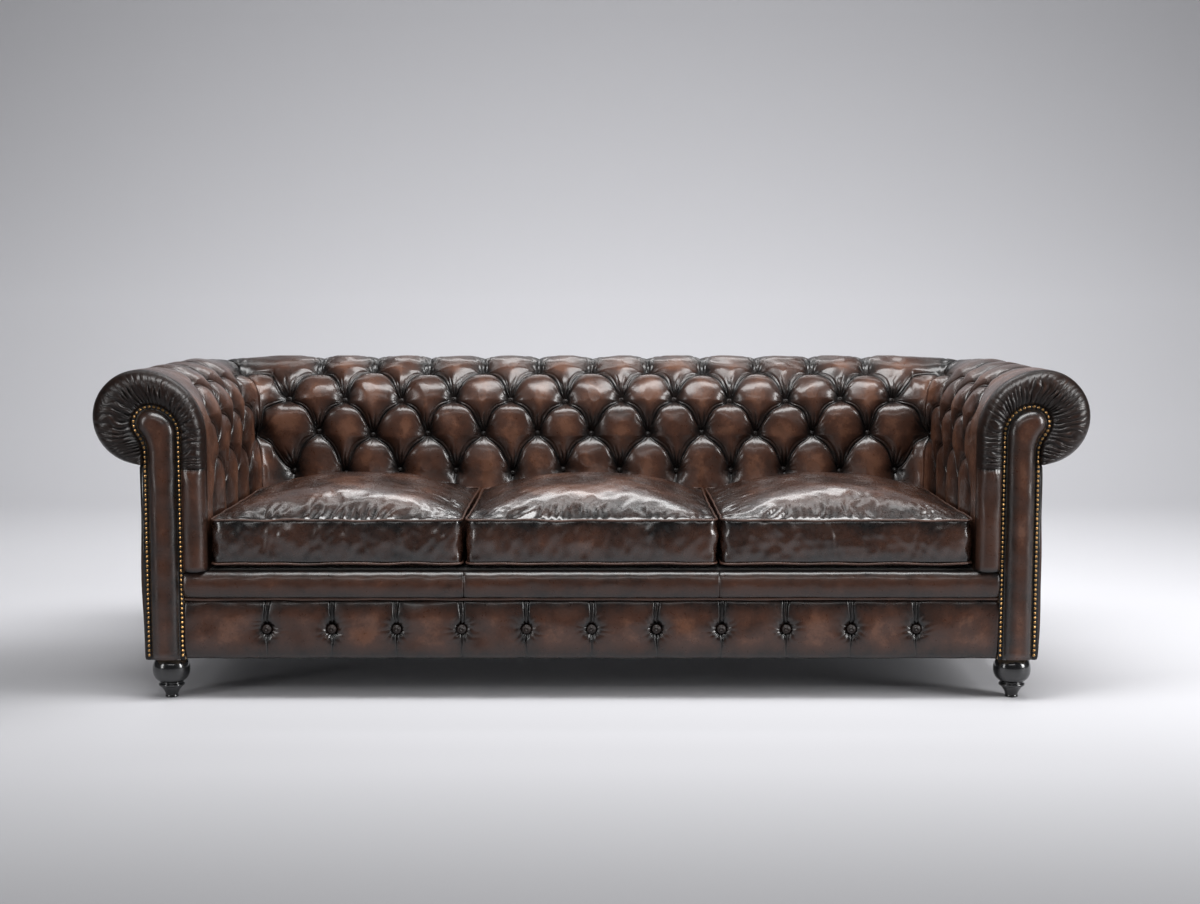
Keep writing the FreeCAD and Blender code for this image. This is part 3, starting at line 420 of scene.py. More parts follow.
def tufted_wall(name, first, last, cells, looks, finish):
    """One closed length of wall upholstery, from column first to column last.

    The outer grid follows the tufting, the inner one lies at the webbing, and both ends are closed.
    Quads are cut along the diagonal that the fold between two buttons follows.
    """
    whole = np.arange(math.floor(min(first, last)), math.ceil(max(first, last)) + 1)
    steps = np.linspace(whole[0], whole[-1], (len(whole) - 1) * cells + 1)
    columns = steps[(steps > min(first, last) + 1e-6) & (steps < max(first, last) - 1e-6)]
    columns = np.concatenate([[min(first, last)], columns, [max(first, last)]])
    lattice = np.linspace(0, ROW_COUNT - 1, (ROW_COUNT - 1) * cells + 1)
    last_row = ROW_COUNT - 1 + (END_S - TOP_ROW) / ROW_PITCH
    below = np.linspace(-1, 0, max(cells // 2, 4) + 1)[:-1]
    above = np.linspace(ROW_COUNT - 1, last_row, int(2.2 * cells) + 1)[1:]
    rows = np.concatenate([below, lattice, above])

    column, row = np.meshgrid(columns, rows, indexing="ij")
    depth, rubbing_and_painted_light, t, s = tuft(column, row, looks)
    outer = wall_point(t, s, depth)

    inner_s = np.concatenate([[TUCK_Z], np.linspace(ARC_Z, END_S, 13)])
    inner_t = np.broadcast_to(run_of(columns)[:, None], (len(columns), len(inner_s)))
    inner = wall_point(inner_t, inner_s[None, :], PAD_U)
    loop = np.concatenate([outer, inner[:, ::-1]], axis=1)
    # Rubbing and painted light on the outer grid; none on the inner grid.
    rubbed_and_lit = np.concatenate([rubbing_and_painted_light, np.zeros(inner.shape[:2])], axis=1)

    count, across = loop.shape[:2]
    quads = grid_faces(count, across, wrap_columns=True).reshape(count - 1, across, 4)
    cell_c = np.floor((columns[:-1] + columns[1:]) / 2)
    cell_r = np.floor((rows[:-1] + rows[1:]) / 2)
    rising = (cell_c[:, None] + cell_r[None, :]) % 2 == 1
    wall_quads, plain = quads[:, : len(rows) - 1], quads[:, len(rows) - 1 :].reshape(-1, 4)
    up, down = wall_quads[rising], wall_quads[~rising]
    triangles = [up[:, [0, 1, 2]], up[:, [0, 2, 3]], down[:, [0, 1, 3]], down[:, [1, 2, 3]]]

    outer_ids = np.arange(len(rows))
    inner_ids = np.arange(across - 1, len(rows) - 1, -1)
    order_s = length_of(rows)
    start = zipped_cap(outer_ids, inner_ids, order_s, inner_s)
    end = zipped_cap(outer_ids, inner_ids, order_s, inner_s)[:, ::-1] + (count - 1) * across
    start = start[:, ::-1] if first > last else start
    end = end[:, ::-1] if first > last else end
    caps = [start, end]
    return new_piece(name, loop, triangles + [plain] + caps, finish, {"rubbing_and_painted_light": rubbed_and_lit})


BUTTON_RISE = 0.0030


def lattice_buttons(name, first, last, finish, looks):
    """Covered buttons at the lattice places whose row and column add up to an odd number."""
    column, row = np.meshgrid(np.arange(first, last + 1), np.arange(ROW_COUNT), indexing="ij")
    chosen = (column + row) % 2 == 1
    column, row = column[chosen].astype(float), row[chosen].astype(float)
    t, s = lattice_place(column, row)
    spots = wall_point(t, s, looks.button_depth - BUTTON_RISE)
    outward = wall_point(t, s, 0.0) - wall_point(t, s, 0.02)
    profile = [(0.004, -0.002), (0.0085, -0.001), (0.0098, 0.0012)]
    profile += [(0.0088, 0.0034), (0.0058, 0.0052), (0.0024, 0.006)]
    points, faces = domes(spots, outward, profile)
    return new_piece(name, points, faces, finish, {"rubbing_and_painted_light": np.full(len(points), 0.25)})


# Arm fronts


def strip_outline(share, margin):
    """(u, z) on the strip's outline grown by margin: up the inside, round the head, down the outside.

    The share runs from 0 to 1 along the outline at no margin, so equal shares face each other.
    """
    inside = HEAD_LOW - BASE_Z
    turns = [HEAD_IN * math.pi / 2, HEAD_OUT * (math.pi / 2 + LEAVE), NECK * LEAVE]
    stops = np.cumsum([0, inside] + turns + [NECK_Z - BASE_Z])
    run = np.asarray(share, float) * stops[-1]
    big, small, neck = HEAD_IN + margin, HEAD_OUT + margin, NECK - margin
    a = math.pi - (run - stops[1]) / HEAD_IN
    b = math.pi / 2 - (run - stops[2]) / HEAD_OUT
    d = (run - stops[3]) / NECK
    pieces_u = [
        STRIP_IN - margin + 0 * run,
        HEAD_U + big * np.cos(a),
        HEAD_U + small * np.cos(b),
        NECK_U - neck * np.cos(LEAVE - d),
        STRIP_OUT + margin + 0 * run,
    ]
    pieces_z = [
        BASE_Z + run,
        HEAD_LOW + big * np.sin(a),
        HEAD_HIGH + small * np.sin(b),
        NECK_Z + neck * np.sin(LEAVE - d),
        NECK_Z - (run - stops[4]),
    ]
    which = [run <= stops[1], run <= stops[2], run <= stops[3], run <= stops[4], run > stops[4]]
    return np.select(which, pieces_u), np.select(which, pieces_z)


def outline_length():
    inside = HEAD_LOW - BASE_Z
    return inside + HEAD_IN * math.pi / 2 + HEAD_OUT * (math.pi / 2 + LEAVE) + NECK * LEAVE + NECK_Z - BASE_Z


def share_at(length):
    return length / outline_length()


def front_points(side, u, y, z):
    """Points of an arm's front on one side of the sofa."""
    u, y, z = np.broadcast_arrays(u, y, z)
    return np.stack([side * (SEAT_HALF + u), y, z], axis=-1)


def front_swell(v, bulge):
    """How far an arm's front stands before the layers' plane, across its width v from strip to edge."""
    tack = LAYER_Y - BOARD_Y
    rise = np.sqrt(np.clip(1 - (1 - np.clip(v / 0.5, 0, 1)) ** 2, 0, 1))
    fall = (1 - np.clip((v - 0.5) / 0.5, 0, 1) ** 2.3) ** 0.5
    return np.where(v < 0.5, tack + (bulge - tack) * rise, bulge * fall)


def scroll_ring(name, side, looks, finish):
    """The leather gathered round the scroll head: from the strip's edge out to the wall's outer line.

    Its pleats are |sin| waves along the ring, deepest at the nails and gone at the outer edge.
    """
    along = 17 * looks.scroll_pleats
    v = np.linspace(0, 1, 44) ** 0.85
    w = np.linspace(0, 1, along + 1)
    s_stops = [SEAM_Z, ARC_Z, CREST_S, OUTER_S, END_S]
    quarter = HEAD_IN * math.pi / 2
    head = HEAD_LOW - BASE_Z
    round_end = head + quarter + HEAD_OUT * (math.pi / 2 + LEAVE) + NECK * LEAVE
    inner_stops = [SEAM_Z - BASE_Z, ARC_Z - BASE_Z, head + quarter, head + quarter + HEAD_OUT * math.pi / 2,
                   round_end + NECK_Z - 0.546]
    shares = [0, 0.14, 0.56, 0.79, 1.0]
    s = np.interp(np.interp(w, np.linspace(0, 1, 5), shares), shares, s_stops)
    kernel = np.hanning(2 * looks.scroll_pleats + 1)
    kernel /= kernel.sum()
    half = len(kernel) // 2
    padded = np.concatenate([2 * s[0] - s[half:0:-1], s, 2 * s[-1] - s[-2 : -2 - half : -1]])
    s = np.convolve(padded, kernel, mode="valid")
    inner = np.interp(s, s_stops, inner_stops)
    edge_u, edge_z = section(s, 0.0)
    tack_u, tack_z = strip_outline(share_at(inner), 0.0035)
    u = tack_u[:, None] + (edge_u - tack_u)[:, None] * v[None, :]
    z = tack_z[:, None] + (edge_z - tack_z)[:, None] * v[None, :]
    spot = np.stack([u * side, z], axis=-1)
    middle = (s - s[0]) / (s[-1] - s[0]) * 0.5 + (inner - inner[0]) / (inner[-1] - inner[0]) * 0.5
    rng = np.random.default_rng(61 + side)
    marks = np.cumsum(np.concatenate([[0], rng.uniform(0.55, 1.45, looks.scroll_pleats)]))
    beat = np.interp(middle, marks / marks[-1], np.arange(len(marks)))
    beat = beat[:, None] + 0.16 * ripple(spot, 0.06, 71 + side) + 0.10 * v[None, :] * side
    crest = np.abs(np.sin(math.pi * beat))
    fine = np.abs(np.sin(2.7 * math.pi * beat + 2.0 * ripple(spot, 0.05, 73)))
    strength = 1 + 0.45 * ripple(spot, 0.035, 75)
    reach = (1 - v) ** 0.75 * smooth_step(-0.05, 0.10, v)
    calm = smooth_step(0.0, 0.03, w) * smooth_step(0.0, 0.03, 1 - w)
    pleat = (crest**0.75 - 0.62) * strength + 0.30 * (fine - 0.6)
    swell = front_swell(v, looks.scroll_swell)[None, :]
    swell = swell + looks.scroll_pleat_depth * pleat * reach[None, :] * calm[:, None]
    swell = swell + 0.0009 * ripple(spot, 0.09, 77) * (1 - v[None, :]) * v[None, :] * 4
    front = front_points(side, u, LAYER_Y - swell, z)
    rear = np.stack([front[:, -1], front[:, 0]], axis=1)
    rear[:, :, 1] = LAYER_Y
    loop = np.concatenate([front, rear[:, 1:]], axis=1)
    # Rubbing and painted light: lighter on the pleats' crests; painted shade in their valleys and towards the
    # nailed strip.
    rubbing_and_painted_light = np.clip(0.52 + 0.55 * pleat * (1 - 0.5 * v[None, :]), 0, 1)
    rubbing_and_painted_light = rubbing_and_painted_light * (0.45 + 0.55 * smooth_step(0.05, 0.5, v))[None, :]
    rubbing_and_painted_light = np.concatenate([rubbing_and_painted_light, np.zeros((len(w), 1))], axis=1)
    return drawn_piece(name, loop, finish, rubbing_and_painted_light)


def lower_front(name, side, looks, finish):
    """The plain padded front between cushion and strip, with soft pulls under the scroll's seam."""
    v = np.linspace(0, 1, 40)
    z = np.linspace(BORDER_TOP, SEAM_Z, 90)
    spread = strip_outline(share_at(0.0), 0.0035)[0]
    u = spread * (1 - v)[None, :] + 0 * z[:, None]
    near = smooth_step(0.0, 0.010, SEAM_Z - z)[:, None]
    low = smooth_step(0.0, 0.012, z - BORDER_TOP)[:, None]
    spot = np.stack(np.broadcast_arrays(u * side, z[:, None]), axis=-1)
    swell = front_swell(v, looks.scroll_swell)[None, :] * (0.93 + 0.07 * near) * (0.90 + 0.10 * low)
    pull = np.exp(-(SEAM_Z - z)[:, None] / 0.035) * np.abs(np.sin(u * 210 + 1.5 * ripple(spot, 0.05, 91)))
    swell = swell + (0.0010 * ripple(spot, 0.10, 93) - 0.0009 * pull) * (4 * v * (1 - v))[None, :]
    front = front_points(side, u, LAYER_Y - swell, z[:, None])
    rear = front[:, :1].copy()
    rear[:, :, 1] = LAYER_Y
    loop = np.concatenate([front, rear], axis=1)
    # Painted shade: darker under the scroll's seam, along the border below and towards both edges.
    rubbing_and_painted_light = 0.62 * near * low * (0.35 + 0.65 * np.sin(math.pi * np.clip(v, 0, 1)) ** 0.6)[None, :]
    rubbing_and_painted_light = np.concatenate([rubbing_and_painted_light, np.zeros((len(z), 1))], axis=1)
    return drawn_piece(name, loop, finish, rubbing_and_painted_light)


STRIP_MARGIN = 0.005
NAILED_WIDTH = 0.0115


def facing_strip(name, side, looks, finish):
    """The padded strip: a flat nailed border and a crowned pad, which rises with distance from the edge."""
    margin = STRIP_MARGIN
    tip = share_at(HEAD_LOW - BASE_Z + HEAD_IN * math.pi / 2 + HEAD_OUT * math.pi / 2)
    low_share = share_at(NECK_Z - BASE_Z)
    straight, head = np.linspace(0, 1, 150)[:-1], np.linspace(0, 1, 120)
    left = np.concatenate([straight * low_share, low_share + head * (tip - low_share)])
    right_low = 1 - low_share
    right = np.concatenate([1 - straight * (1 - right_low), right_low - head * (right_low - tip)])
    left_u, left_z = strip_outline(left, margin)
    right_u, right_z = strip_outline(right, margin)
    v = (1 - np.cos(math.pi * np.linspace(0, 1, 41))) / 2
    u = left_u[:-1, None] + (right_u - left_u)[:-1, None] * v[None, :]
    z = left_z[:-1, None] + (right_z - left_z)[:-1, None] * v[None, :]
    edge_u, edge_z = strip_outline(np.linspace(0, 1, 900), margin)
    distance = np.full(u.shape, 1.0)
    for part in np.array_split(np.arange(len(edge_u)), 30):
        gap = np.hypot(u[..., None] - edge_u[part], z[..., None] - edge_z[part]).min(axis=-1)
        distance = np.minimum(distance, gap)
    rise = np.clip((distance - NAILED_WIDTH) / 0.0245, 0, 1)
    crown = (1 - (1 - rise) ** 2) ** 0.62
    foot = smooth_step(0.0, 0.016, z - BASE_Z)
    spot = np.stack([u * side, z], axis=-1)
    pad = looks.strip_crown * crown * (0.35 + 0.65 * foot) + 0.0007 * ripple(spot, 0.09, 101 + side) * crown
    front = front_points(side, u, FLANGE_Y - pad, z)
    loop = backed(front, BOARD_Y)
    count, across = loop.shape[:2]
    tip_u, tip_z = strip_outline(tip, margin)
    tips = front_points(side, np.array([tip_u, tip_u]), np.array([FLANGE_Y, BOARD_Y]), np.array([tip_z, tip_z]))
    points = np.concatenate([loop.reshape(-1, 3), tips])
    # Rubbing and painted light: painted shade over the nailed border, lighter towards the pad's crown, where
    # its painted highlight lies.
    strip_rubbing_and_painted_light = 0.70 * np.clip((distance - 0.010) / 0.028, 0, 1) ** 1.5
    rubbing_and_painted_light = np.concatenate([strip_rubbing_and_painted_light, np.zeros((count, 2))], axis=1).ravel()
    rubbing_and_painted_light = np.concatenate([rubbing_and_painted_light, [0.1, 0.0]])
    ids = np.arange(across)
    last = (count - 1) * across
    front_tip, rear_tip = count * across, count * across + 1
    wide = len(v)
    k = np.arange(wide - 1)
    fan = np.stack([last + k, np.full(wide - 1, front_tip), last + k + 1], axis=-1)
    closing = np.array([
        [last + wide - 1, front_tip, rear_tip],
        [last + wide - 1, rear_tip, last + wide],
        [last + wide, rear_tip, last + wide + 1],
        [last + wide + 1, rear_tip, front_tip],
        [last + wide + 1, front_tip, last],
    ])
    faces = [grid_faces(count, across, wrap_columns=True), end_cap(across, ids), fan, closing]
    return new_piece(name, points, faces, finish, {"rubbing_and_painted_light": rubbing_and_painted_light})


GIMP_HALF = 0.0046


def gimp_band(name, side, finish):
    """The dark band under the nails: a low rounded ribbon that follows the strip's outline."""
    share = np.linspace(0.0, 1.0, 420)
    m = np.linspace(-1, 1, 9)
    spots_u, spots_z, spots_y = [], [], []
    for step in m:
        u, z = strip_outline(share, GIMP_HALF * step)
        spots_u.append(u)
        spots_z.append(z)
        spots_y.append(np.full(share.shape, FLANGE_Y - 0.0013 * (1 - abs(step) ** 4)))
    front = front_points(side, np.stack(spots_u, 1), np.stack(spots_y, 1), np.stack(spots_z, 1))
    rear = front[:, ::-8].copy()
    rear[:, :, 1] = FLANGE_Y + 0.001
    loop = np.concatenate([front, rear], axis=1)
    return drawn_piece(name, loop, finish, np.zeros(loop.shape[:2]))


def strip_nails(name, side, looks, finish):
    """Domed nails at one pitch along the strip's outline."""
    count = int(outline_length() / looks.nail_pitch)
    share = np.linspace(0, 1, count + 1)
    u, z = strip_outline(share, 0.0)
    keep = z > BASE_Z + GIMP_HALF
    spots = front_points(side, u[keep], np.full(keep.sum(), FLANGE_Y - 0.0008), z[keep])
    outward = np.tile([0.0, -1.0, 0.0], (len(spots), 1))
    profile = [(0.0036, -0.0006), (0.0037, 0.0), (0.0033, 0.0011), (0.0022, 0.0022), (0.0008, 0.0027)]
    points, faces = domes(spots, outward, profile, 10)
    return new_piece(name, points, faces, finish)


# Front rail, border and welt

RAIL_END = SEAT_HALF + STRIP_IN - STRIP_MARGIN
RAIL_FACE = LAYER_Y - 0.025
RAIL_MIDDLE = (BASE_Z + BORDER_LOW) / 2
BORDER_EDGE = 0.0125
BORDER_CROWN = 0.0305
WELT_FORWARD = 0.0185
WELT_RADIUS = 0.003


def rail_columns(looks):
    count = looks.rail_buttons
    return (np.arange(count) - (count - 1) / 2) * looks.rail_pitch


def gathered(low, high, stops, fine, coarse, reach):
    """Numbers from low to high whose spacing is fine near each stop and coarse away from them."""
    dense = np.linspace(low, high, 20001)
    gap = np.min(np.abs(dense[:, None] - np.asarray(stops)[None, :]), axis=1)
    rate = 1 / (fine + (coarse - fine) * smooth_step(0.0, reach, gap))
    run = np.concatenate([[0], np.cumsum((rate[1:] + rate[:-1]) / 2 * np.diff(dense))])
    count = int(run[-1]) + 1
    return np.interp(np.linspace(0, run[-1], count + 1), run, dense)


def rail_cover(looks, finish):
    """The front panel: a shallow pillow between buttons, each with a tuck above it and a crease below."""
    stops = rail_columns(looks)
    x = gathered(-RAIL_END, RAIL_END, stops, 0.0012, 0.006, 0.045)
    z = np.linspace(BASE_Z, BORDER_LOW, 92)
    gx, gz = np.meshgrid(x, z, indexing="ij")
    v = (gz - RAIL_MIDDLE) / (BORDER_LOW - BASE_Z) * 2
    body = 0.017 + 0.008 * (1 - np.abs(v) ** 2.4)
    body = body - 0.009 * np.exp(-((1 - np.abs(v)) / 0.05) ** 1.0)
    nearest = stops[np.argmin(np.abs(gx[..., None] - stops), axis=-1)]
    number = np.argmin(np.abs(gx[..., None] - stops), axis=-1)
    rise = gz - RAIL_MIDDLE
    wander = 0.0022 * np.sin(3.1 * number + 28 * gz) + 0.0012 * np.sin(5.3 * number + 61 * gz)
    dx = gx - nearest - wander * smooth_step(0.008, 0.03, np.abs(rise))
    above = smooth_step(0.002, 0.010, rise)
    below = smooth_step(0.002, 0.010, -rise)
    half_tuck = 0.0028 + 0.045 * np.clip(rise - 0.006, 0, 1)
    tuck = np.exp(-(((np.abs(dx) - half_tuck) / 0.0013) ** 2)) + 0.45 * np.exp(-((dx / 0.011) ** 2))
    crease = np.exp(-((dx / 0.0014) ** 2)) + 0.4 * np.exp(-((dx / 0.009) ** 2))
    valley = np.exp(-((dx / 0.030) ** 2))
    spot = np.stack([gx, gz], axis=-1)
    fold = above * tuck * 0.0042 + below * crease * 0.0036 * (1 - 0.55 * smooth_step(0.02, 0.06, -rise))
    distance = np.hypot(dx, rise)
    angle = np.arctan2(dx, rise)
    funnel = 0.0105 * np.exp(-((distance / 0.0165) ** 2.2))
    ray = np.abs(np.sin(5.5 * angle + 1.3 * number + 0.6 * ripple(spot, 0.04, 111))) - 0.5
    ray = ray * smooth_step(0.009, 0.014, distance) * np.exp(-((distance / 0.027) ** 2)) * 0.0030
    body = body - fold - funnel + ray - 0.0042 * valley * (1 - 0.3 * np.abs(v))
    body = body + 0.0012 * ripple(spot, 0.10, 113)
    y = LAYER_Y - np.maximum(body, 0.004)
    front = np.stack([gx, y, gz], axis=-1)
    loop = backed(front, LAYER_Y)
    # Rubbing and painted light: painted shade in the valley and funnel round each button, in the tucks and
    # creases, along the top and bottom edges and towards the ends; lighter in the panels' middles.
    rubbing_and_painted_light = 0.85 * (1 - 0.85 * valley * np.exp(-((rise / 0.05) ** 2)))
    rubbing_and_painted_light = rubbing_and_painted_light * (1 - 0.8 * np.exp(-((distance / 0.026) ** 2)))
    rubbing_and_painted_light = rubbing_and_painted_light * (0.12 + 0.88 * smooth_step(0.0, 0.7, 1 - np.abs(v))) - 0.6 * np.minimum(fold / 0.004, 1)
    ends = smooth_step(0.0, 0.035, RAIL_END - np.abs(gx))
    rubbing_and_painted_light = np.concatenate([np.clip(rubbing_and_painted_light * (0.4 + 0.6 * ends), 0, 1), np.zeros((len(x), 2))], axis=1)
    return drawn_piece("front_rail_leather", loop, finish, rubbing_and_painted_light)


def rail_buttons(looks, finish):
    places = rail_columns(looks)
    spots = np.stack([places, 0 * places + RAIL_FACE + 0.0115, 0 * places + RAIL_MIDDLE], axis=-1)
    outward = np.tile([0.0, -1.0, 0.0], (len(spots), 1))
    profile = [(0.006, -0.003), (0.0098, 0.0), (0.0108, 0.0025)]
    profile += [(0.0102, 0.0052), (0.0075, 0.0074), (0.0035, 0.0084)]
    points, faces = domes(spots, outward, profile, 28)
    return new_piece("front_rail_covered_buttons", points, faces, finish, {"rubbing_and_painted_light": np.full(len(points), 0.45)})


def border_length(name, x0, x1, seed, finish):
    """One length of the padded border: a rounded section that draws in a little at each sewn end."""
    x = gathered(x0, x1, [x0, x1], 0.0015, 0.008, 0.05)
    turn = np.linspace(-math.pi / 2, math.pi / 2, 30)
    half, middle = (BORDER_TOP - BORDER_LOW) / 2, (BORDER_TOP + BORDER_LOW) / 2
    end = np.minimum(x - x0, x1 - x)
    draw = 1 - 0.10 * np.exp(-end / 0.004)
    face = BORDER_EDGE + (BORDER_CROWN - BORDER_EDGE) * np.cos(turn)
    z = middle + half * np.sin(turn)[None, :] * (1 - 0.25 * (1 - draw))[:, None]
    spot = np.stack(np.broadcast_arrays(x[:, None], z), axis=-1)
    wave = 0.0008 * ripple(spot, 0.16, seed) + 0.0004 * ripple(spot, 0.05, seed + 1)
    y = LAYER_Y - face[None, :] * draw[:, None] - wave * np.cos(turn)[None, :]
    front = np.stack(np.broadcast_arrays(x[:, None], y, z), axis=-1)
    loop = backed(front, LAYER_Y)
    # Painted light: lighter along the border's rounded middle; painted shade towards its top and bottom and
    # near its sewn ends.
    rubbing_and_painted_light = (0.60 * np.cos(turn)[None, :] ** 2.5) * (1 - 0.5 * np.exp(-end / 0.012))[:, None]
    rubbing_and_painted_light = np.concatenate([rubbing_and_painted_light, np.zeros((len(x), 2))], axis=1)
    return drawn_piece(name, loop, finish, rubbing_and_painted_light)


def border_welt(finish):
    """The piping between border and front panel: a round cord with a slightly uneven line."""
    x = np.linspace(-RAIL_END, RAIL_END, 240)
    path = np.stack([x, 0 * x + LAYER_Y - WELT_FORWARD, 0 * x + BORDER_LOW], axis=-1)
    path[:, 1] -= 0.0006 * ripple(path, 0.12, 131)
    path[:, 2] += 0.0005 * ripple(path, 0.15, 133)
    outward = np.tile([0.0, -1.0, 0.0], (len(x), 1))
    body = tube_loop(path, outward, np.array([0.0, 0.0, 1.0]), WELT_RADIUS)
    return drawn_piece("border_welt", body, finish, np.full(body.shape[:2], 0.8))


# Outside covers


def outside_wall(name, runs, low_u, high_u, seed, finish):
    """A stretched outside cover: a thin panel whose outer face swells a little between its edges."""
    t = np.asarray(runs)
    z = np.linspace(BASE_Z, OUTSIDE_TOP, 70)
    v = (z - BASE_Z) / (OUTSIDE_TOP - BASE_Z)
    swell = 0.0026 * (4 * v * (1 - v)) ** 0.7 - 0.0015
    edge = 0.0022 * (np.exp(-v / 0.006) + np.exp(-(1 - v) / 0.006))
    gt, gz = np.meshgrid(t, z, indexing="ij")
    spot = np.stack([gt, gz], axis=-1)
    pull = np.abs(np.sin(gt * 95 + 1.6 * ripple(spot, 0.12, seed)))
    pull = pull * (np.exp(-v / 0.06) + np.exp(-(1 - v) / 0.06))[None, :]
    u = high_u + swell[None, :] - edge[None, :] + 0.0009 * ripple(spot, 0.22, seed + 1) - 0.0007 * pull
    ends = np.minimum(np.arange(len(t)), np.arange(len(t))[::-1])
    u = u - 0.0020 * np.exp(-ends / 1.5)[:, None]
    x, y = station(gt, u)
    outer = np.stack([x, y, gz], axis=-1)
    bx, by = station(np.stack([t, t], axis=1), np.full((len(t), 2), low_u))
    inner = np.stack([bx, by, np.broadcast_to([z[-1], z[0]], bx.shape)], axis=-1)
    loop = np.concatenate([outer, inner], axis=1)
    # Rubbing and painted light: lighter between the edges; painted shade at the top and bottom edges and in the
    # pulls.
    rubbing_and_painted_light = np.clip(0.62 * (4 * v * (1 - v)) ** 0.3 + 0.05, 0, 1)[None, :] - 0.25 * pull
    rubbing_and_painted_light = np.concatenate([np.clip(rubbing_and_painted_light, 0, 1), np.zeros((len(t), 2))], axis=1)
    return drawn_piece(name, loop, finish, rubbing_and_painted_light)


# Feet


def turned_foot(name, spot, finish):
    """A turned foot: its radius by height is a smooth line through neck, bulb, waist, ring, taper and toe."""
    heights = [0.096, 0.092, 0.082, 0.074, 0.064, 0.055, 0.046, 0.040, 0.0362]
    radii = [0.0320, 0.0350, 0.0405, 0.0425, 0.0430, 0.0418, 0.0380, 0.0320, 0.0265]
    dense = np.linspace(heights[-1], heights[0], 40)
    bulb = np.interp(dense, heights[::-1], radii[::-1])
    for _ in range(3):
        bulb[1:-1] = (bulb[:-2] + 2 * bulb[1:-1] + bulb[2:]) / 4
    ring_turn = np.linspace(-math.pi / 2, math.pi / 2, 9)
    ring_z, ring_r = 0.0300 + 0.0030 * np.sin(ring_turn), 0.0282 + 0.0018 * np.cos(ring_turn)
    taper = np.linspace(0.006, 0.0268, 12)
    taper_r = np.interp(taper, [0.006, 0.012, 0.018, 0.024, 0.0268], [0.0140, 0.0162, 0.0195, 0.0245, 0.0272])
    z = np.concatenate([[0.0, 0.0005, 0.0022, 0.0045], taper, ring_z, [0.0345], dense])
    r = np.concatenate([[0.0140, 0.0152, 0.0155, 0.0145], taper_r, ring_r, [0.0262], bulb])
    points, faces = domes(
            np.array([[spot[0], spot[1], 0.0]]), np.array([[0.0, 0.0, 1.0]]), np.stack([r, z], 1), 72
        )
    return new_piece(name, points, faces, finish)


# Loose cushions

CUSHION_WIDTH = 0.581333
CUSHION_STEP = 0.583333
CUSHION_FIRST = -0.874
CUSHION_FRONT = -0.440
CUSHION_BACK = 0.205
CUSHION_LOW = 0.3023
LOW_SEAM = 0.3173
HIGH_SEAM = 0.4173
WELT = 0.0026
CORNER_BEND = 0.0244


def seam_loop(index, inset, corner, count_x, count_y):
    """A cushion's seam outline as an array: a rounded rectangle whose sides draw in between its corners."""
    x, y = cushion_plan(index, *boundary(count_x, count_y), inset, corner)
    return x, y


def boundary(count_x, count_y):
    """(u, v) once round the edge of the square from -1 to 1."""
    a, b = np.linspace(-1, 1, count_x + 1), np.linspace(-1, 1, count_y + 1)
    u = np.concatenate([a[:-1], np.ones(count_y), a[:0:-1], -np.ones(count_y)])
    v = np.concatenate([-np.ones(count_x), b[:-1], np.ones(count_x), b[:0:-1]])
    return u, v


def cushion_plan(index, u, v, inset, corner):
    """(x, y) of plan shares (u, v) of a cushion: the corner squares are turned into quarter rounds."""
    half_x = CUSHION_WIDTH / 2 - inset
    half_y = (CUSHION_BACK - CUSHION_FRONT) / 2 - inset
    x, y = u * half_x, v * half_y
    dx, dy = np.abs(x) - (half_x - corner), np.abs(y) - (half_y - corner)
    both = (dx > 0) & (dy > 0)
    reach, size = np.maximum(dx, dy), np.maximum(np.hypot(dx, dy), 1e-9)
    x = np.where(both, np.sign(x) * (half_x - corner + reach * dx / size), x)
    y = np.where(both, np.sign(y) * (half_y - corner + reach * dy / size), y)
    draw = 0.0032
    x = x * (1 - draw / half_x * (1 - (y / half_y) ** 2))
    y = y * (1 - draw / half_y * (1 - (x / half_x) ** 2))
    centre_x = CUSHION_FIRST + index * CUSHION_STEP + CUSHION_WIDTH / 2
    return centre_x + x, (CUSHION_FRONT + CUSHION_BACK) / 2 + y


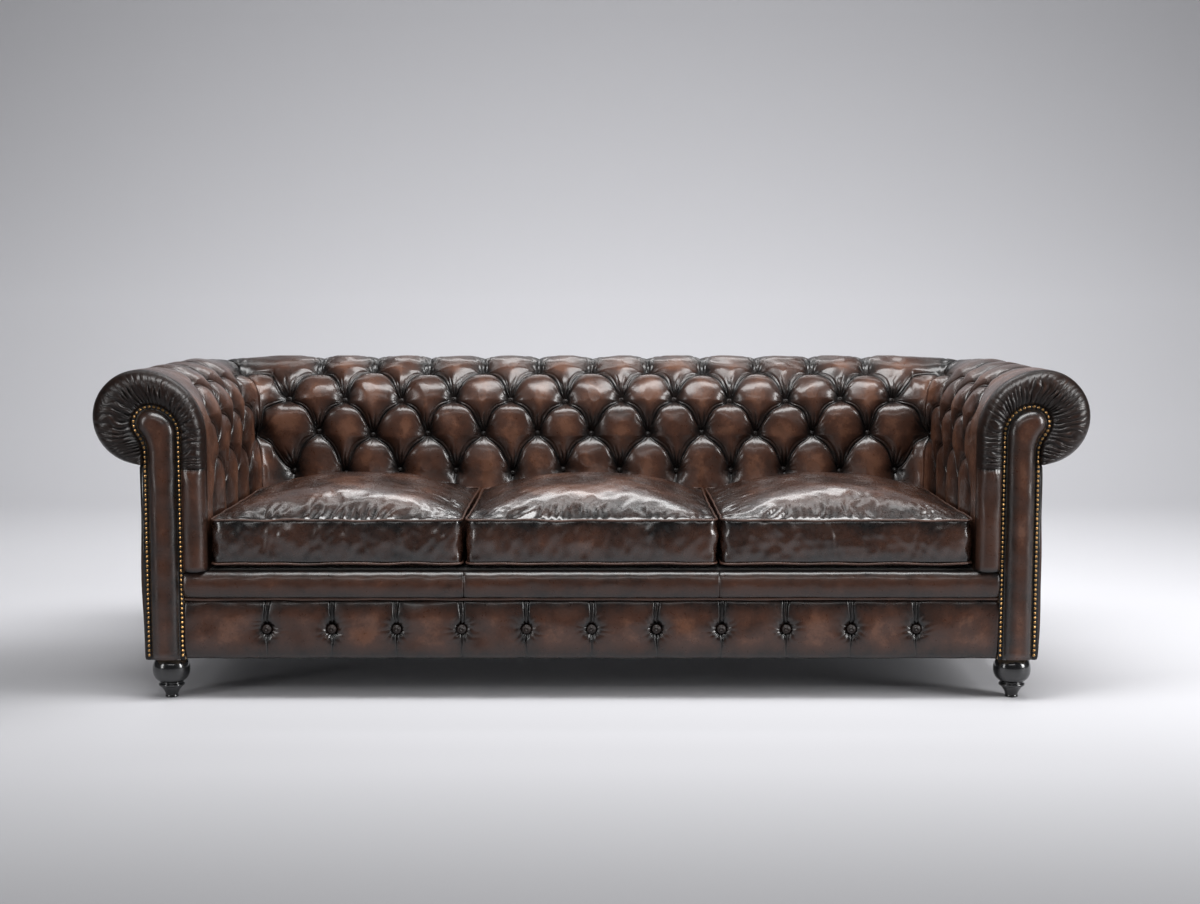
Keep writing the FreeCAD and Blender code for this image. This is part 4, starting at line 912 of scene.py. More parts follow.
def cushion_form(index, count_x, count_y, rows, crown_height, swell):
    """A boxed cushion on one net: crowned top, swelling sides and a belly that rests flat.

    The crown is h (1 - |u|^2.3)^0.8 (1 - |v|^2.6)^0.6. Returns points, quads and the seam rows.
    """
    inset, corner = 2 * WELT + 0.0001, 0.0217
    u, v = np.meshgrid(np.linspace(-1, 1, count_x + 1), np.linspace(-1, 1, count_y + 1), indexing="ij")
    x, y = cushion_plan(index, u, v, inset, corner)
    crown = (1 - np.abs(u) ** 2.4) ** 0.8 * (1 - np.abs(v) ** 2.6) ** 0.65
    top = np.stack([x, y, HIGH_SEAM + crown_height * crown], axis=-1)
    edge = np.minimum((1 - np.abs(u)) * CUSHION_WIDTH / 2, (1 - np.abs(v)) * 0.32)
    belly = LOW_SEAM - (LOW_SEAM - CUSHION_LOW) * np.clip(edge / 0.034, 0, 1) ** 0.7
    bottom = np.stack([x, y, belly], axis=-1)
    nodes = (count_x + 1) * (count_y + 1)
    ids = np.arange(nodes).reshape(count_x + 1, count_y + 1)
    ring = np.concatenate([ids[:-1, 0], ids[-1, :-1], ids[:0:-1, -1], ids[0, :0:-1]])
    bu, bv = boundary(count_x, count_y)
    bx, by = cushion_plan(index, bu, bv, inset, corner)
    next_x, next_y = np.roll(bx, -1) - np.roll(bx, 1), np.roll(by, -1) - np.roll(by, 1)
    size = np.hypot(next_x, next_y)
    out_x, out_y = next_y / size, -next_x / size
    share = np.arange(1, rows) / rows
    z = HIGH_SEAM + (LOW_SEAM - HIGH_SEAM) * share
    bulge = swell * (4 * share * (1 - share)) ** 0.6
    sides = np.stack([
        bx[None, :] + out_x[None, :] * bulge[:, None],
        by[None, :] + out_y[None, :] * bulge[:, None],
        np.broadcast_to(z[:, None], (rows - 1, len(bx))),
    ], axis=-1)
    points = np.concatenate([top.reshape(-1, 3), sides.reshape(-1, 3), bottom.reshape(-1, 3)])
    around = len(ring)
    net = [ring] + [nodes + k * around + np.arange(around) for k in range(rows - 1)]
    offset = nodes + (rows - 1) * around
    net.append(offset + ring)
    net = np.stack(net)
    side_quads = np.stack([net[:-1], np.roll(net[:-1], -1, 1), np.roll(net[1:], -1, 1), net[1:]], axis=-1)
    top_quads = grid_faces(count_x + 1, count_y + 1)
    quads = np.concatenate([top_quads, side_quads.reshape(-1, 4)[:, ::-1], (top_quads + offset)[:, ::-1]])
    return points, quads, net


def inflate(points, quads, pinned, limit):
    """Cloth simulation of a filled cover: pressure from within, held at the pinned points.

    Each point moves by no more than the limit.
    """
    mesh = bpy.data.meshes.new("cushion_cloth")
    mesh.from_pydata(points.tolist(), [], quads.tolist())
    piece = bpy.data.objects.new("cushion_cloth", mesh)
    bpy.context.scene.collection.objects.link(piece)
    group = piece.vertex_groups.new(name="held")
    group.add([int(i) for i in pinned], 1.0, "REPLACE")
    cloth = piece.modifiers.new("Cloth", "CLOTH")
    settings = cloth.settings
    settings.quality = 6
    settings.mass = 0.25
    settings.tension_stiffness = 18
    settings.compression_stiffness = 18
    settings.shear_stiffness = 8
    settings.bending_stiffness = 0.6
    settings.vertex_group_mass = "held"
    settings.use_pressure = True
    settings.uniform_pressure_force = 4.0
    settings.shrink_min = -0.012
    settings.effector_weights.gravity = 0.0
    cloth.collision_settings.use_collision = False
    scene = bpy.context.scene
    for number in range(1, 21):
        scene.frame_set(number)
    graph = bpy.context.evaluated_depsgraph_get()
    done = piece.evaluated_get(graph).to_mesh()
    moved = np.zeros(len(points) * 3, np.float32)
    done.vertices.foreach_get("co", moved)
    piece.evaluated_get(graph).to_mesh_clear()
    scene.frame_set(1)
    bpy.data.objects.remove(piece)
    bpy.data.meshes.remove(mesh)
    shift = moved.reshape(-1, 3).astype(float) - points
    length = np.linalg.norm(shift, axis=1)
    return points + shift * (np.minimum(length, limit) / np.maximum(length, 1e-9))[:, None]


def vertex_normals(points, quads):
    a, b, c, d = (points[quads[:, k]] for k in range(4))
    face = np.cross(c - a, d - b)
    normals = np.zeros_like(points)
    for k in range(4):
        np.add.at(normals, quads[:, k], face)
    return normals / np.maximum(np.linalg.norm(normals, axis=1), 1e-12)[:, None]


def refine(points, quads):
    """One Catmull-Clark step of an all-quad closed mesh, through a modifier that is applied."""
    mesh = bpy.data.meshes.new("cushion_fine")
    mesh.from_pydata(points.tolist(), [], quads.tolist())
    piece = bpy.data.objects.new("cushion_fine", mesh)
    bpy.context.scene.collection.objects.link(piece)
    step = piece.modifiers.new("Smooth", "SUBSURF")
    step.levels = step.render_levels = 1
    graph = bpy.context.evaluated_depsgraph_get()
    done = piece.evaluated_get(graph).to_mesh()
    fine = np.zeros(len(done.vertices) * 3, np.float32)
    done.vertices.foreach_get("co", fine)
    corners = np.zeros(len(done.loops), np.int32)
    done.loops.foreach_get("vertex_index", corners)
    piece.evaluated_get(graph).to_mesh_clear()
    bpy.data.objects.remove(piece)
    bpy.data.meshes.remove(mesh)
    return fine.reshape(-1, 3).astype(float), corners.reshape(-1, 4).astype(np.int64)


def creased(points, quads, seed, looks):
    """Adds the leather's creases, puckers that run off each seam and slow hollows, and its share of rubbing and
    painted light, with a painted shade along the upper seam line.
    """
    normals = vertex_normals(points, quads)
    x, y, z = points.T
    middle_x = (x.min() + x.max()) / 2
    plan = points[:, :2]
    from_edge = np.minimum((x.max() - x.min()) / 2 - np.abs(x - middle_x), np.minimum(y - y.min(), y.max() - y))
    on_top = smooth_step(HIGH_SEAM - 0.001, HIGH_SEAM + 0.003, z)
    on_side = (z < HIGH_SEAM) & (z > LOW_SEAM)
    front = smooth_step(0.0, 0.25, -(y - y.min()) + 0.30)
    along = np.abs(x - middle_x) / ((x.max() - x.min()) / 2)
    sideways = along > np.abs(y - (y.max() + y.min()) / 2) / ((y.max() - y.min()) / 2)
    along = np.where(sideways, y, x)
    bend = 0.016 * ripple(plan, 0.24, seed + 1) + 0.0035 * ripple(plan, 0.10, seed + 2)
    pucker = np.sin((along + bend) * 2 * math.pi / 0.024 + 1.2 * ripple(plan, 0.30, seed + 3))
    second = np.sin((along - 0.8 * bend) * 2 * math.pi / 0.0145 + 2.0 * ripple(plan, 0.20, seed + 4))
    strength = np.clip(0.75 + 0.6 * ripple(plan, 0.13, seed + 5), 0.05, 1.8)
    reach = np.exp(-((from_edge - 0.022) / 0.040) ** 2) * on_top
    lift = looks.pucker_depth * (0.75 * pucker + 0.3 * second) * strength * reach * (0.55 + 0.45 * front)
    hollows = 0.0012 * ripple(points, 0.20, seed + 6) + 0.0003 * ripple(points, 0.06, seed + 7)
    lift = lift + hollows * on_top * smooth_step(0.0, 0.03, from_edge)
    share = np.clip((HIGH_SEAM - z) / (HIGH_SEAM - LOW_SEAM), 0, 1)
    box_swell = (4 * share * (1 - share)) ** 0.8
    box_wave = np.sin((along + 0.02 * ripple(points, 0.12, seed + 8)) * 2 * math.pi / 0.052 + 8 * share)
    box = 0.0007 * box_wave + 0.0010 * ripple(points, 0.085, seed + 9)
    box = box + 0.0004 * ripple(points, 0.03, seed + 10)
    lift = lift + np.where(on_side, box * box_swell, 0.0)
    moved = points + normals * lift[:, None]
    # Rubbing and painted light: painted shade near the top's edges, painted highlight on the puckers' ridges
    # and painted shade in their hollows; the boxing lighter in its middle with painted shade at its seams, and
    # a painted shade along the upper seam.
    rubbing_and_painted_light = (0.15 + 0.55 * smooth_step(0.01, 0.12, from_edge)) * (1 + 0.2 * ripple(plan, 0.25, seed + 11))
    rubbing_and_painted_light = rubbing_and_painted_light + 50 * lift * on_top
    rubbing_and_painted_light = np.clip(rubbing_and_painted_light, 0, 1)
    rubbing_and_painted_light = np.where(on_side, 0.02 + 0.50 * box_swell ** 1.6 + 0.12 * ripple(points, 0.13, seed + 12), rubbing_and_painted_light)
    rubbing_and_painted_light = np.where(z < LOW_SEAM, 0.35, rubbing_and_painted_light) * (0.55 + 0.45 * smooth_step(0.0, 0.012, np.abs(z - HIGH_SEAM)))
    return moved, np.clip(rubbing_and_painted_light, 0, 1)


def cushion_welts(name, index, finish):
    """The two pipings of a cushion, round the outside of its seams, as closed tubes."""
    count_x, count_y = 110, 120
    bodies, faces, start = [], [], 0
    for level, z in enumerate((LOW_SEAM, HIGH_SEAM)):
        bx, by = seam_loop(index, WELT, CORNER_BEND, count_x, count_y)
        path = np.stack([bx, by, np.full(len(bx), z)], axis=-1)
        step = np.roll(path, -1, 0) - np.roll(path, 1, 0)
        outward = np.stack([step[:, 1], -step[:, 0], 0 * step[:, 0]], axis=-1)
        outward /= np.linalg.norm(outward, axis=1)[:, None]
        wave = ripple(path, 0.10, 150 + 7 * index + level)
        path[:, 2] += 0.0007 * wave
        path -= 0.0004 * np.abs(ripple(path, 0.06, 170 + index))[:, None] * outward
        body = tube_loop(path, outward, np.array([0.0, 0.0, 1.0]), WELT, 10)
        bodies.append(body.reshape(-1, 3))
        faces.append(grid_faces(body.shape[0], body.shape[1], True, True) + start)
        start += body.shape[0] * body.shape[1]
    points = np.concatenate(bodies)
    return new_piece(name, points, [np.concatenate(faces)], finish, {"rubbing_and_painted_light": np.full(len(points), 0.85)})


# Finishes


def node_of(tree, kind, **values):
    node = tree.nodes.new(kind)
    for key, value in values.items():
        setattr(node, key, value)
    return node


def new_material(name):
    material = bpy.data.materials.new(name)
    material.use_nodes = True
    tree = material.node_tree
    tree.nodes.clear()
    output = node_of(tree, "ShaderNodeOutputMaterial")
    shader = node_of(tree, "ShaderNodeBsdfPrincipled")
    tree.links.new(shader.outputs["BSDF"], output.inputs["Surface"])
    return material, tree, shader


def link(tree, source, target):
    tree.links.new(source, target)


def noise(tree, coords, scale, detail=4.0, roughness=0.55, distortion=0.0):
    node = node_of(tree, "ShaderNodeTexNoise")
    node.inputs["Scale"].default_value = scale
    node.inputs["Detail"].default_value = detail
    node.inputs["Roughness"].default_value = roughness
    node.inputs["Distortion"].default_value = distortion
    link(tree, coords, node.inputs["Vector"])
    return node.outputs["Fac"]


def sums(tree, operation, a, b, clamp=False):
    node = node_of(tree, "ShaderNodeMath", operation=operation, use_clamp=clamp)
    for socket, value in zip(node.inputs, (a, b)):
        if isinstance(value, (int, float)):
            socket.default_value = value
        else:
            link(tree, value, socket)
    return node.outputs[0]


def spread_to(tree, value, low, high, new_low, new_high):
    node = node_of(tree, "ShaderNodeMapRange")
    for key, number in zip(("From Min", "From Max", "To Min", "To Max"), (low, high, new_low, new_high)):
        node.inputs[key].default_value = number
    link(tree, value, node.inputs["Value"])
    return node.outputs["Result"]


def ramp(tree, value, stops):
    node = node_of(tree, "ShaderNodeValToRGB")
    elements = node.color_ramp.elements
    while len(elements) < len(stops):
        elements.new(0.5)
    for element, (position, color) in zip(elements, stops):
        element.position = position
        element.color = (*color, 1.0)
    link(tree, value, node.inputs["Fac"])
    return node.outputs["Color"]


def bumped(tree, heights, shader):
    """Chains bumps of (height, distance in metres, strength) into the shader's normal."""
    normal = None
    for height, distance, strength in heights:
        node = node_of(tree, "ShaderNodeBump")
        node.inputs["Distance"].default_value = distance
        node.inputs["Strength"].default_value = strength
        link(tree, height, node.inputs["Height"])
        if normal is not None:
            link(tree, normal, node.inputs["Normal"])
        normal = node.outputs["Normal"]
    link(tree, normal, shader.inputs["Normal"])


def leather(name, dark, brown, warm, rough=0.31, gloss=0.35, grain=0.25, shine=0.17, level=0.36):
    """Antiqued, waxed leather coloured by its share of rubbing and painted light: dark in the folds from
    antiquing and painted shade, brown on what stands proud from rubbing and painted highlight, with fine grain.
    """
    material, tree, shader = new_material(name)
    coords = node_of(tree, "ShaderNodeTexCoord").outputs["Object"]
    rubbing_and_painted_light = node_of(tree, "ShaderNodeAttribute", attribute_name="rubbing_and_painted_light").outputs["Fac"]
    cloud = noise(tree, coords, 9.0, 5.0, 0.62, 0.4)
    patch = noise(tree, coords, 34.0, 4.0, 0.60)
    speck = noise(tree, coords, 190.0, 3.0, 0.6)
    # Colour from the attribute of rubbing and painted light, broken up by random cloudy patches.
    leather_rubbing_and_painted_light = sums(tree, "MULTIPLY", rubbing_and_painted_light, spread_to(tree, cloud, 0.32, 0.68, 0.48, 1.30))
    leather_rubbing_and_painted_light = sums(tree, "ADD", leather_rubbing_and_painted_light, spread_to(tree, patch, 0.30, 0.70, -0.12, 0.12))
    leather_rubbing_and_painted_light = sums(tree, "ADD", leather_rubbing_and_painted_light, spread_to(tree, speck, 0.35, 0.65, -0.07, 0.07), True)
    middle = tuple(0.45 * a + 0.55 * b for a, b in zip(dark, brown))
    colour = ramp(tree, leather_rubbing_and_painted_light, [(0.0, dark), (0.38, middle), (0.72, brown), (1.0, warm)])
    link(tree, colour, shader.inputs["Base Color"])
    cells = node_of(tree, "ShaderNodeTexVoronoi", feature="DISTANCE_TO_EDGE")
    cells.inputs["Scale"].default_value = 620.0
    stretched = node_of(tree, "ShaderNodeMapping")
    warp = noise(tree, coords, 60.0, 2.0)
    link(tree, coords, stretched.inputs["Vector"])
    stretched.inputs["Scale"].default_value = (1.0, 1.0, 0.85)
    link(tree, stretched.outputs["Vector"], cells.inputs["Vector"])
    pebble = spread_to(tree, cells.outputs["Distance"], 0.0, 0.35, 0.0, 1.0)
    wrinkle = noise(tree, coords, 130.0, 4.0, 0.65, 0.8)
    slow = noise(tree, coords, 38.0, 3.0, 0.5, 0.6)
    bumped(tree, [(slow, 0.0016, 0.30), (wrinkle, 0.0006, 0.35), (pebble, 0.00016, grain)], shader)
    roughness = spread_to(tree, wrinkle, 0.3, 0.7, rough - 0.05, rough + 0.07)
    roughness = sums(tree, "ADD", roughness, spread_to(tree, warp, 0.3, 0.7, -0.03, 0.05))
    link(tree, roughness, shader.inputs["Roughness"])
    shader.inputs["Specular IOR Level"].default_value = level
    shader.inputs["Coat Weight"].default_value = gloss
    shader.inputs["Coat Roughness"].default_value = shine
    return material


def lacquer(name, colour):
    """Ebonised wood under gloss lacquer, with faint grain and brushed unevenness."""
    material, tree, shader = new_material(name)
    coords = node_of(tree, "ShaderNodeTexCoord").outputs["Object"]
    mapping = node_of(tree, "ShaderNodeMapping")
    mapping.inputs["Scale"].default_value = (90.0, 90.0, 14.0)
    link(tree, coords, mapping.inputs["Vector"])
    grain = noise(tree, mapping.outputs["Vector"], 1.0, 5.0, 0.6)
    light = tuple(2.2 * c + 0.002 for c in colour)
    link(tree, ramp(tree, grain, [(0.35, colour), (0.7, light)]), shader.inputs["Base Color"])
    cloudy = noise(tree, coords, 26.0, 3.0)
    link(tree, spread_to(tree, cloudy, 0.3, 0.7, 0.16, 0.27), shader.inputs["Roughness"])
    bumped(tree, [(cloudy, 0.0006, 0.12), (grain, 0.00012, 0.25)], shader)
    shader.inputs["Coat Weight"].default_value = 0.5
    shader.inputs["Coat Roughness"].default_value = 0.08
    return material


def aged_brass(name, colour):
    """Antique brass, with random patches of dull brown stain."""
    material, tree, shader = new_material(name)
    coords = node_of(tree, "ShaderNodeTexCoord").outputs["Object"]
    stain = noise(tree, coords, 260.0, 3.0, 0.6)
    dull = tuple(0.32 * c for c in colour)
    link(tree, ramp(tree, stain, [(0.30, dull), (0.55, colour), (0.8, colour)]), shader.inputs["Base Color"])
    link(tree, spread_to(tree, stain, 0.3, 0.7, 0.42, 0.24), shader.inputs["Roughness"])
    shader.inputs["Metallic"].default_value = 1.0
    bumped(tree, [(noise(tree, coords, 900.0, 2.0), 0.0001, 0.3)], shader)
    return material


def cloth(name, colour, pitch):
    """Plain woven cloth: crossing threads at one pitch, with slubs."""
    material, tree, shader = new_material(name)
    coords = node_of(tree, "ShaderNodeTexCoord").outputs["Object"]
    waves = []
    for direction in ("X", "Y"):
        wave = node_of(tree, "ShaderNodeTexWave", wave_type="BANDS", bands_direction=direction)
        wave.inputs["Scale"].default_value = 0.314 / pitch
        wave.inputs["Distortion"].default_value = 0.6
        link(tree, coords, wave.inputs["Vector"])
        waves.append(wave.outputs["Fac"])
    weave = sums(tree, "MAXIMUM", waves[0], waves[1])
    slub = noise(tree, coords, 55.0, 4.0)
    shade = sums(tree, "MULTIPLY", weave, spread_to(tree, slub, 0.3, 0.7, 0.7, 1.1), True)
    dark = tuple(0.55 * c for c in colour)
    link(tree, ramp(tree, shade, [(0.1, dark), (0.9, colour)]), shader.inputs["Base Color"])
    shader.inputs["Roughness"].default_value = 0.85
    shader.inputs["Sheen Weight"].default_value = 0.2
    bumped(tree, [(weave, 0.0004, 0.5)], shader)
    return material


def timber(name, light, dark, scale):
    """Sawn wood: long streaks along X with darker pores."""
    material, tree, shader = new_material(name)
    coords = node_of(tree, "ShaderNodeTexCoord").outputs["Object"]
    mapping = node_of(tree, "ShaderNodeMapping")
    mapping.inputs["Scale"].default_value = (scale / 8, scale, scale)
    link(tree, coords, mapping.inputs["Vector"])
    streak = noise(tree, mapping.outputs["Vector"], 1.0, 6.0, 0.6, 1.2)
    link(tree, ramp(tree, streak, [(0.3, dark), (0.65, light)]), shader.inputs["Base Color"])
    link(tree, spread_to(tree, streak, 0.3, 0.7, 0.65, 0.5), shader.inputs["Roughness"])
    bumped(tree, [(streak, 0.0004, 0.4)], shader)
    return material


def foam_block(name, colour):
    """Cream filling: open pores of two sizes, slightly yellowed in patches."""
    material, tree, shader = new_material(name)
    coords = node_of(tree, "ShaderNodeTexCoord").outputs["Object"]
    pores = noise(tree, coords, 700.0, 2.0)
    age = noise(tree, coords, 12.0, 3.0)
    darker = tuple(0.8 * c for c in colour)
    link(tree, ramp(tree, age, [(0.3, darker), (0.7, colour)]), shader.inputs["Base Color"])
    shader.inputs["Roughness"].default_value = 0.9
    bumped(tree, [(pores, 0.0008, 0.6)], shader)
    return material


def spring_metal(name, colour):
    """Drawn steel wire with a thin brown bloom."""
    material, tree, shader = new_material(name)
    coords = node_of(tree, "ShaderNodeTexCoord").outputs["Object"]
    bloom = noise(tree, coords, 80.0, 4.0)
    brown = (0.12, 0.07, 0.04)
    link(tree, ramp(tree, bloom, [(0.35, colour), (0.75, brown)]), shader.inputs["Base Color"])
    link(tree, spread_to(tree, bloom, 0.3, 0.7, 0.28, 0.55), shader.inputs["Roughness"])
    shader.inputs["Metallic"].default_value = 1.0
    return material


FINISHES = {}


def finish_named(key):
    if key not in FINISHES:
        raise RuntimeError(f"the finish {key} isn't made yet")
    return FINISHES[key]


# Sizes and colours a user would change


class SofaUpholsterySettings(PropertyGroup):
    """Depths and fullness of the tufted walls and the front rail."""

    grid_cells: IntProperty(
        name="Grid Cells", description="Mesh cells between two button columns", default=34, min=8, max=60
    )
    button_depth: FloatProperty(
        name="Button Depth", description="How deep the buttons sit", default=0.036, unit="LENGTH"
    )
    fold_depth: FloatProperty(
        name="Fold Depth", description="Depth of the folds between buttons",
        default=0.0190, unit="LENGTH",
    )
    pleat_depth: FloatProperty(
        name="Crest Pleat Depth", description="Depth of the pleats over the roll",
        default=0.0095, unit="LENGTH",
    )
    fan_depth: FloatProperty(
        name="Fan Depth", description="Height of the folds that fan out above a button",
        default=0.0062, unit="LENGTH",
    )
    upper_fullness: FloatProperty(
        name="Upper Edge", description="How steeply a pillow falls to its upper folds",
        default=0.40, min=0.1, max=1.5,
    )
    lower_fullness: FloatProperty(
        name="Lower Edge", description="How steeply a pillow falls to its lower folds",
        default=0.56, min=0.1, max=1.5,
    )
    scroll_pleats: IntProperty(
        name="Scroll Pleats", description="Pleats round each arm's scroll", default=38, min=8, max=80
    )
    scroll_pleat_depth: FloatProperty(
        name="Scroll Pleat Depth", description="Depth of the scroll's pleats",
        default=0.0046, unit="LENGTH",
    )
    scroll_swell: FloatProperty(
        name="Scroll Swell", description="How far the scroll stands forward",
        default=0.038, unit="LENGTH",
    )
    strip_crown: FloatProperty(
        name="Strip Crown", description="Height of the padded strip above its nailed edge",
        default=0.020, unit="LENGTH",
    )
    nail_pitch: FloatProperty(
        name="Nail Pitch", description="Distance between nails", default=0.0108, unit="LENGTH"
    )
    rail_buttons: IntProperty(
        name="Rail Buttons", description="Buttons along the front rail", default=11, min=1, max=21
    )
    rail_pitch: FloatProperty(
        name="Rail Button Pitch", description="Distance between the rail's buttons",
        default=0.1488, unit="LENGTH",
    )


class SofaCushionSettings(PropertyGroup):
    """Shape of the three loose cushions."""

    crown: FloatProperty(
        name="Crown", description="Height of a cushion's top above its upper seam",
        default=0.050, unit="LENGTH",
    )
    crown_full: FloatProperty(
        name="Full Crown", description="The same height once the cushion is filled",
        default=0.064, unit="LENGTH",
    )
    swell: FloatProperty(
        name="Side Swell", description="How far a cushion's sides stand out between seams",
        default=0.0015, unit="LENGTH",
    )
    most_move: FloatProperty(
        name="Most Move", description="Most that filling may move the leather",
        default=0.022, unit="LENGTH",
    )
    pucker_depth: FloatProperty(
        name="Pucker Depth", description="Height of the puckers along the seams",
        default=0.0020, unit="LENGTH",
    )


class SofaColourSettings(PropertyGroup):
    """Colours, as they are written in linear light."""

    # The dark end of the leather's colour ramp: antiquing in the folds and painted shade there.
    dark: FloatVectorProperty(
        name="Leather In Folds", description="Leather where polish stays",
        default=(0.0042, 0.0034, 0.0033), size=3, subtype="COLOR", min=0, max=1,
    )
    brown: FloatVectorProperty(
        name="Leather", description="Leather on the pillows",
        default=(0.052, 0.0215, 0.0130), size=3, subtype="COLOR", min=0, max=1,
    )
    # The bright end of the leather's colour ramp: rubbing and painted highlight where they are most.
    warm: FloatVectorProperty(
        name="Rubbed Leather", description="Leather where it is rubbed most",
        default=(0.100, 0.044, 0.0260), size=3, subtype="COLOR", min=0, max=1,
    )
    welt: FloatVectorProperty(
        name="Piping", description="Leather on the piping",
        default=(0.075, 0.038, 0.027), size=3, subtype="COLOR", min=0, max=1,
    )
    brass: FloatVectorProperty(
        name="Nails", description="Metal of the nails",
        default=(0.62, 0.36, 0.14), size=3, subtype="COLOR", min=0, max=1,
    )
    black: FloatVectorProperty(
        name="Feet", description="Lacquer on the feet",
        default=(0.006, 0.006, 0.0065), size=3, subtype="COLOR", min=0, max=1,
    )
    floor: FloatVectorProperty(
        name="Floor", description="Studio floor and backdrop",
        default=(0.83, 0.83, 0.865), size=3, subtype="COLOR", min=0, max=1,
    )


class SofaStageSettings(PropertyGroup):
    """Camera and lights."""

    camera_distance: FloatProperty(
        name="Camera Distance", description="From the sofa's front plane", default=4.038, unit="LENGTH"
    )
    camera_height: FloatProperty(
        name="Camera Height", description="Above the floor", default=0.9627, unit="LENGTH"
    )
    camera_side: FloatProperty(
        name="Camera Offset", description="To the right of the sofa's middle",
        default=0.0193, unit="LENGTH",
    )
    camera_pitch: FloatProperty(
        name="Camera Pitch", description="Downward tilt", default=math.radians(5.463), subtype="ANGLE"
    )
    lens: FloatProperty(name="Lens", description="Focal length in millimetres", default=53.98)
    key_power: FloatProperty(
        name="Key Light", description="Power of the overhead light in watts", default=150.0
    )
    side_power: FloatProperty(
        name="Side Lights", description="Power of the side lights in watts", default=95.0
    )


# Operators


class SOFA_OT_finishes(Operator):
    """Make the leathers, brass, lacquer, cloths and woods"""

    bl_idname = "sofa.finishes"
    bl_label = "Finishes"

    def execute(self, context):
        colours = context.scene.sofa_colours
        dark, brown, warm = (tuple(getattr(colours, key)) for key in ("dark", "brown", "warm"))
        FINISHES["wall"] = leather("antiqued_leather", dark, brown, warm)
        FINISHES["seat"] = leather(
            "seat_leather", dark, tuple(0.9 * c for c in brown), warm, 0.27, 0.75, 0.2, 0.17, 0.45
        )
        # The scroll's leather: brown at 0.22 and the warm colour at 0.40 of the wall leather's, a painted shade
        # of the pleated ring.
        FINISHES["scroll"] = leather(
            "painted_shade_gathered_leather", dark, tuple(0.22 * c for c in brown), tuple(0.40 * c for c in warm),
            0.33, 0.05, 0.25, 0.2, 0.30,
        )
        # Button leather: the brown at 0.30, a painted shade of the holes the buttons sit in.
        FINISHES["button"] = leather("button_leather", dark, tuple(0.30 * c for c in brown), brown, 0.45, 0.0)
        FINISHES["welt"] = leather(
            "piping_leather", dark, tuple(0.75 * c for c in colours.welt), tuple(colours.welt), 0.38, 0.15
        )
        FINISHES["gimp"] = leather(
            "black_gimp", (0.004, 0.004, 0.004), (0.008, 0.007, 0.007), (0.010, 0.009, 0.009), 0.5, 0.0
        )
        FINISHES["brass"] = aged_brass("aged_brass", tuple(colours.brass))
        FINISHES["foot"] = lacquer("black_lacquer", tuple(colours.black))
        FINISHES["deck"] = cloth("deck_cloth", (0.030, 0.022, 0.018), 0.0012)
        FINISHES["cambric"] = cloth("black_cambric", (0.012, 0.012, 0.013), 0.0008)
        FINISHES["webbing"] = cloth("jute_webbing", (0.30, 0.21, 0.12), 0.0025)
        FINISHES["beech"] = timber("beech", (0.55, 0.36, 0.21), (0.38, 0.23, 0.12), 60.0)
        FINISHES["plywood"] = timber("plywood", (0.50, 0.36, 0.22), (0.36, 0.24, 0.13), 30.0)
        FINISHES["foam"] = foam_block("filling", (0.72, 0.66, 0.48))
        FINISHES["steel"] = spring_metal("spring_steel", (0.42, 0.42, 0.43))
        return {"FINISHED"}


NODE_FINISHES = {
    "deck": ["seat_deck"],
    "cambric": ["dust_cover"],
    "webbing": ["back_webbing", "arm_webbing"],
    "plywood": ["backing_boards", "left_arm_front_board", "right_arm_front_board"],
    "steel": ["seat_springs", "spring_clips", "foot_studs"],
}


class SOFA_OT_frame(Operator):
    """Give the frame's own pieces their finishes"""

    bl_idname = "sofa.frame_finishes"
    bl_label = "Frame"

    def execute(self, context):
        for node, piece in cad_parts.items():
            found = [key for key, names in NODE_FINISHES.items() if node in names]
            piece.data.materials.clear()
            piece.data.materials.append(finish_named(found[0] if found else "beech"))
        return {"FINISHED"}


class SOFA_OT_walls(Operator):
    """Build the tufted leather of back and arms with its buttons"""

    bl_idname = "sofa.tufted_walls"
    bl_label = "Tufted Walls"

    def execute(self, context):
        looks = context.scene.sofa_upholstery
        cells = looks.grid_cells
        end = LAST_COLUMN + (FRONT_RUN - LAST_COLUMN * COLUMN_STEP) / COLUMN_STEP
        plans = {
            "back": (-CORNER_COLUMN, CORNER_COLUMN, ["inside_back_cover", "back_pad"], (-12, 12)),
            "left_arm": (-end, -CORNER_COLUMN, ["left_inside_arm_cover", "left_arm_pad"], (-19, -13)),
            "right_arm": (CORNER_COLUMN, end, ["right_inside_arm_cover", "right_arm_pad"], (13, 19)),
        }
        for name, (first, last, nodes, places) in plans.items():
            wall = tufted_wall(name + "_tufted_leather", first, last, cells, looks, finish_named("wall"))
            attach(wall, "sofa")
            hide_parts(*nodes)
            buttons = lattice_buttons(name + "_covered_buttons", *places, finish_named("button"), looks)
            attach(buttons, "sofa")
            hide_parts(name + "_buttons")
        return {"FINISHED"}


class SOFA_OT_front(Operator):
    """Build the front rail's leather and buttons, the padded border and its welt"""

    bl_idname = "sofa.front_rail"
    bl_label = "Front Rail"

    def execute(self, context):
        looks = context.scene.sofa_upholstery
        panel = rail_cover(looks, finish_named("wall"))
        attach(panel, "sofa")
        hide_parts("front_rail_cover")
        buttons = rail_buttons(looks, finish_named("button"))
        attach(buttons, "sofa")
        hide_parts("front_rail_buttons")
        seam = SEAT_HALF / 3
        stops = [-RAIL_END, -seam, seam, RAIL_END]
        for number, (x0, x1) in enumerate(zip(stops, stops[1:])):
            side = ("left", "centre", "right")[number]
            length = border_length(side + "_border", x0, x1, 141 + 5 * number, finish_named("wall"))
            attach(length, "sofa")
            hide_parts("front_border")
        welt = border_welt(finish_named("welt"))
        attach(welt, "sofa")
        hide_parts("front_border_piping")
        return {"FINISHED"}


